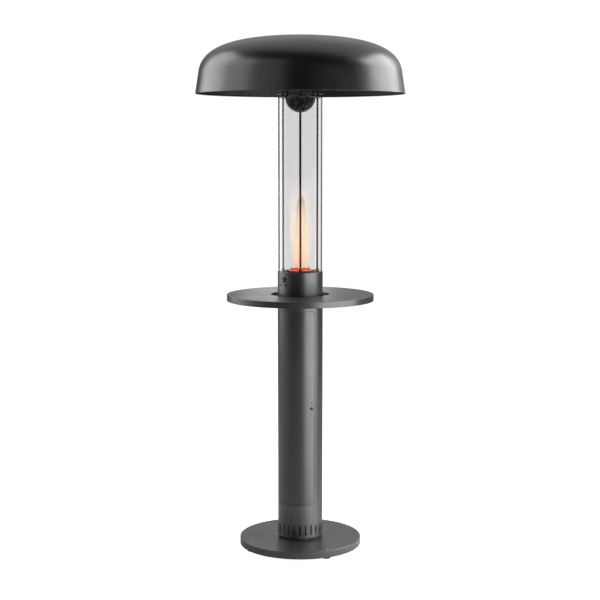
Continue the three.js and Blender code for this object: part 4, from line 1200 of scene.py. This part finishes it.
# ---------------------------------------------------------------- flame
def gas_tongue(name, material, radius, bottom, top, sway, phase):
    """A closed, wavering sheath of flame: drawn in at the burner, widest at half height, round at the top."""
    bm = bmesh.new()
    rows, segments = 40, 48
    profile = []
    for k in range(rows + 1):
        t = k / rows
        swell = math.sqrt(max(1 - (2 * t - 1) ** 6, 0)) * (0.82 + 0.18 * math.sin(math.pi * t))
        profile.append((max(radius * swell, 0.0) if 0 < k < rows else 0.0, bottom + (top - bottom) * t))

    def spin(r, z, turn):
        t = (z - bottom) / (top - bottom)
        waves = 0.10 * math.sin(3 * turn + 7 * t + phase)
        return r * (1 + waves + 0.06 * math.sin(5 * turn - 9 * t + 2 * phase))

    revolve(bm, profile, segments, spin)
    for v in bm.verts:
        t = (v.co.z - bottom) / (top - bottom)
        v.co.x += sway * t * math.sin(4.2 * t + phase)
        v.co.y += sway * t * math.cos(3.7 * t + phase)
    return shown(to_piece(bm, material, 180), name)


def make_flame():
    bottom, top = high("burner_plate").z + 1, high("burner_plate").z + 380
    colors = [(0.0, (1.0, 0.42, 0.22)), (0.1, (1.0, 0.62, 0.42)), (0.3, (1.0, 0.80, 0.52)),
              (0.6, (1.0, 0.84, 0.62)), (1.0, (0.98, 0.86, 0.74))]
    veil = [(0.0, 0.34), (0.15, 0.26), (0.5, 0.22), (0.8, 0.1), (1.0, 0.0)]
    gas = flame_gas("flame_gas", bottom, top, colors, veil)
    for k in range(5):
        share = 1 - k / 5.5
        tip = bottom + (top - bottom) * (0.62 + 0.38 * share)
        gas_tongue(f"flame_{k + 1}", gas, 44 * share, bottom, tip, 5, 1.3 * k)
    root_top = bottom + 12
    root_colors = [(0.0, (0.42, 0.045, 0.008)), (0.5, (0.5, 0.07, 0.014)), (1.0, (0.6, 0.15, 0.06))]
    root = flame_gas("flame_root", bottom, root_top, root_colors, [(0.0, 0.9), (0.5, 0.5), (1.0, 0.0)])
    for k, (circle, count) in enumerate(((18, 6), (36, 12)), 1):
        bm = bmesh.new()
        for n in range(count):
            spot = polar(circle, 360 / count * (n + 0.5))
            height = 9 + 3 * math.sin(2.3 * n + k)
            jet = bmesh.new()
            line = [(0, 0)] + [(5.5 * math.sin(math.pi * (0.25 + 0.75 * t)), height * t)
                               for t in (0.02, 0.15, 0.3, 0.5, 0.7, 0.85, 0.95)] + [(0, height)]
            revolve(jet, line, 16)
            bmesh.ops.translate(jet, verts=jet.verts, vec=spot + Vector((0, 0, bottom)))
            pour(jet, bm)
        shown(to_piece(bm, root, 180), f"flame_jets_{k}")


make_flame()


# ---------------------------------------------------------------- stage
def grey(tree, value):
    """A grey colour from a number's socket."""
    made = tree.nodes.new("ShaderNodeCombineColor")
    for key in ("Red", "Green", "Blue"):
        tree.links.new(value, made.inputs[key])
    return made.outputs["Color"]


def looked_at(tree):
    """1 for a ray straight from the eye or through glass, 0 for light and reflections."""
    path = tree.nodes.new("ShaderNodeLightPath")
    seen = tree.nodes.new("ShaderNodeMath")
    seen.operation = "MAXIMUM"
    tree.links.new(path.outputs["Is Camera Ray"], seen.inputs[0])
    tree.links.new(path.outputs["Is Transmission Ray"], seen.inputs[1])
    return seen.outputs[0]


def make_floor():
    """A pale floor. It is lit to white for the eye, but doesn't throw that light back at the heater."""
    material, tree, shader = new_material("studio_floor")
    dress(tree, shader, color=grey(tree, mottle(tree, 3, 4, 0.3, 0.7, 0.50, 0.54)), rough=0.9, level=0.1,
          glow=(1, 1, 1, 1), power=times(tree, looked_at(tree), 0.93))
    bm = bmesh.new()
    bmesh.ops.create_circle(bm, cap_ends=True, radius=60000, segments=96)
    floor = to_piece(bm, material)
    floor.name = "floor"


def floor_glow(name, bearing, distance, z, width, height, radiance):
    """A softbox that looks straight down, and brightens the base's edge and the floor by it."""
    lamp = softbox(name, bearing, distance, z, width, height, radiance)
    lamp.rotation_euler = (0, 0, 0)


def softbox(name, bearing, distance, z, width, height, radiance, aim=1.1):
    """A soft area light that only shows in reflections. bearing is degrees from the front towards +X."""
    light = bpy.data.lights.new(name, "AREA")
    light.shape = "RECTANGLE"
    light.size = width
    light.size_y = height
    light.energy = radiance * width * height * math.pi
    lamp = bpy.data.objects.new(name, light)
    turn = math.radians(bearing)
    lamp.location = (distance * math.sin(turn), -distance * math.cos(turn), z)
    ray = Vector((0, 0, aim)) - lamp.location
    lamp.rotation_euler = ray.to_track_quat("-Z", "Y").to_euler()
    lamp.visible_camera = False
    lamp.visible_transmission = False
    SCENE.collection.objects.link(lamp)
    return lamp


def make_world():
    """White to the eye. For light and reflections it is bright only high up behind."""
    world = bpy.data.worlds.new("studio")
    world.use_nodes = True
    SCENE.world = world
    tree = world.node_tree
    tree.nodes.clear()
    where = tree.nodes.new("ShaderNodeTexCoord")
    towards = tree.nodes.new("ShaderNodeVectorMath")
    towards.operation = "DOT_PRODUCT"
    towards.inputs[1].default_value = (0.28, 0.6, 0.75)
    tree.links.new(where.outputs["Generated"], towards.inputs[0])
    studio = tree.nodes.new("ShaderNodeBackground")
    cap = remap(tree, towards.outputs["Value"], 0.45, 0.9, 0.012, 0.6, True)
    tree.links.new(grey(tree, cap), studio.inputs["Color"])
    white = tree.nodes.new("ShaderNodeBackground")
    white.inputs["Color"].default_value = (1, 1, 1, 1)
    white.inputs["Strength"].default_value = 1.03
    mix = tree.nodes.new("ShaderNodeMixShader")
    tree.links.new(looked_at(tree), mix.inputs["Fac"])
    tree.links.new(studio.outputs[0], mix.inputs[1])
    tree.links.new(white.outputs[0], mix.inputs[2])
    output = tree.nodes.new("ShaderNodeOutputWorld")
    tree.links.new(mix.outputs[0], output.inputs["Surface"])


def make_camera():
    data = bpy.data.cameras.new("camera")
    data.sensor_width = 36
    data.lens = 81
    camera = bpy.data.objects.new("camera", data)
    camera.location = (-0.001, -5.491, 1.660)
    camera.rotation_euler = (math.radians(83.4), 0, 0)
    SCENE.collection.objects.link(camera)
    SCENE.camera = camera


make_floor()
make_world()
softbox("key_right", 57, 2.6, 0.75, 3.4, 1.5, 4.6, aim=0.75)
softbox("key_top", 57, 2.6, 1.7, 3.4, 0.4, 1.1, aim=1.7)
softbox("key_low", 50, 0.85, 0.17, 0.75, 0.3, 1.2, aim=0.17)
softbox("dome_right", 106, 3.0, 3.1, 3.0, 2.1, 4.8, aim=2.1)
softbox("left_tall", -110, 3.2, 2.8, 2.6, 4.3, 3.1, aim=2.4)
softbox("left_low", -74, 3.2, 1.1, 1.7, 1.4, 0.6, aim=0.9)
floor_glow("floor_right", 74, 0.72, 0.2, 0.7, 0.5, 5)
softbox("left_side", -70, 3.2, 3.3, 1.6, 2.3, 1.7, aim=2.3)
softbox("left_front", -38, 3.2, 3.4, 2.4, 2.4, 0.45, aim=2.3)
softbox("back", -178, 2.2, 1.7, 0.5, 1.2, 1.0, aim=1.2)
make_camera()
SCENE.view_settings.view_transform = "Standard"
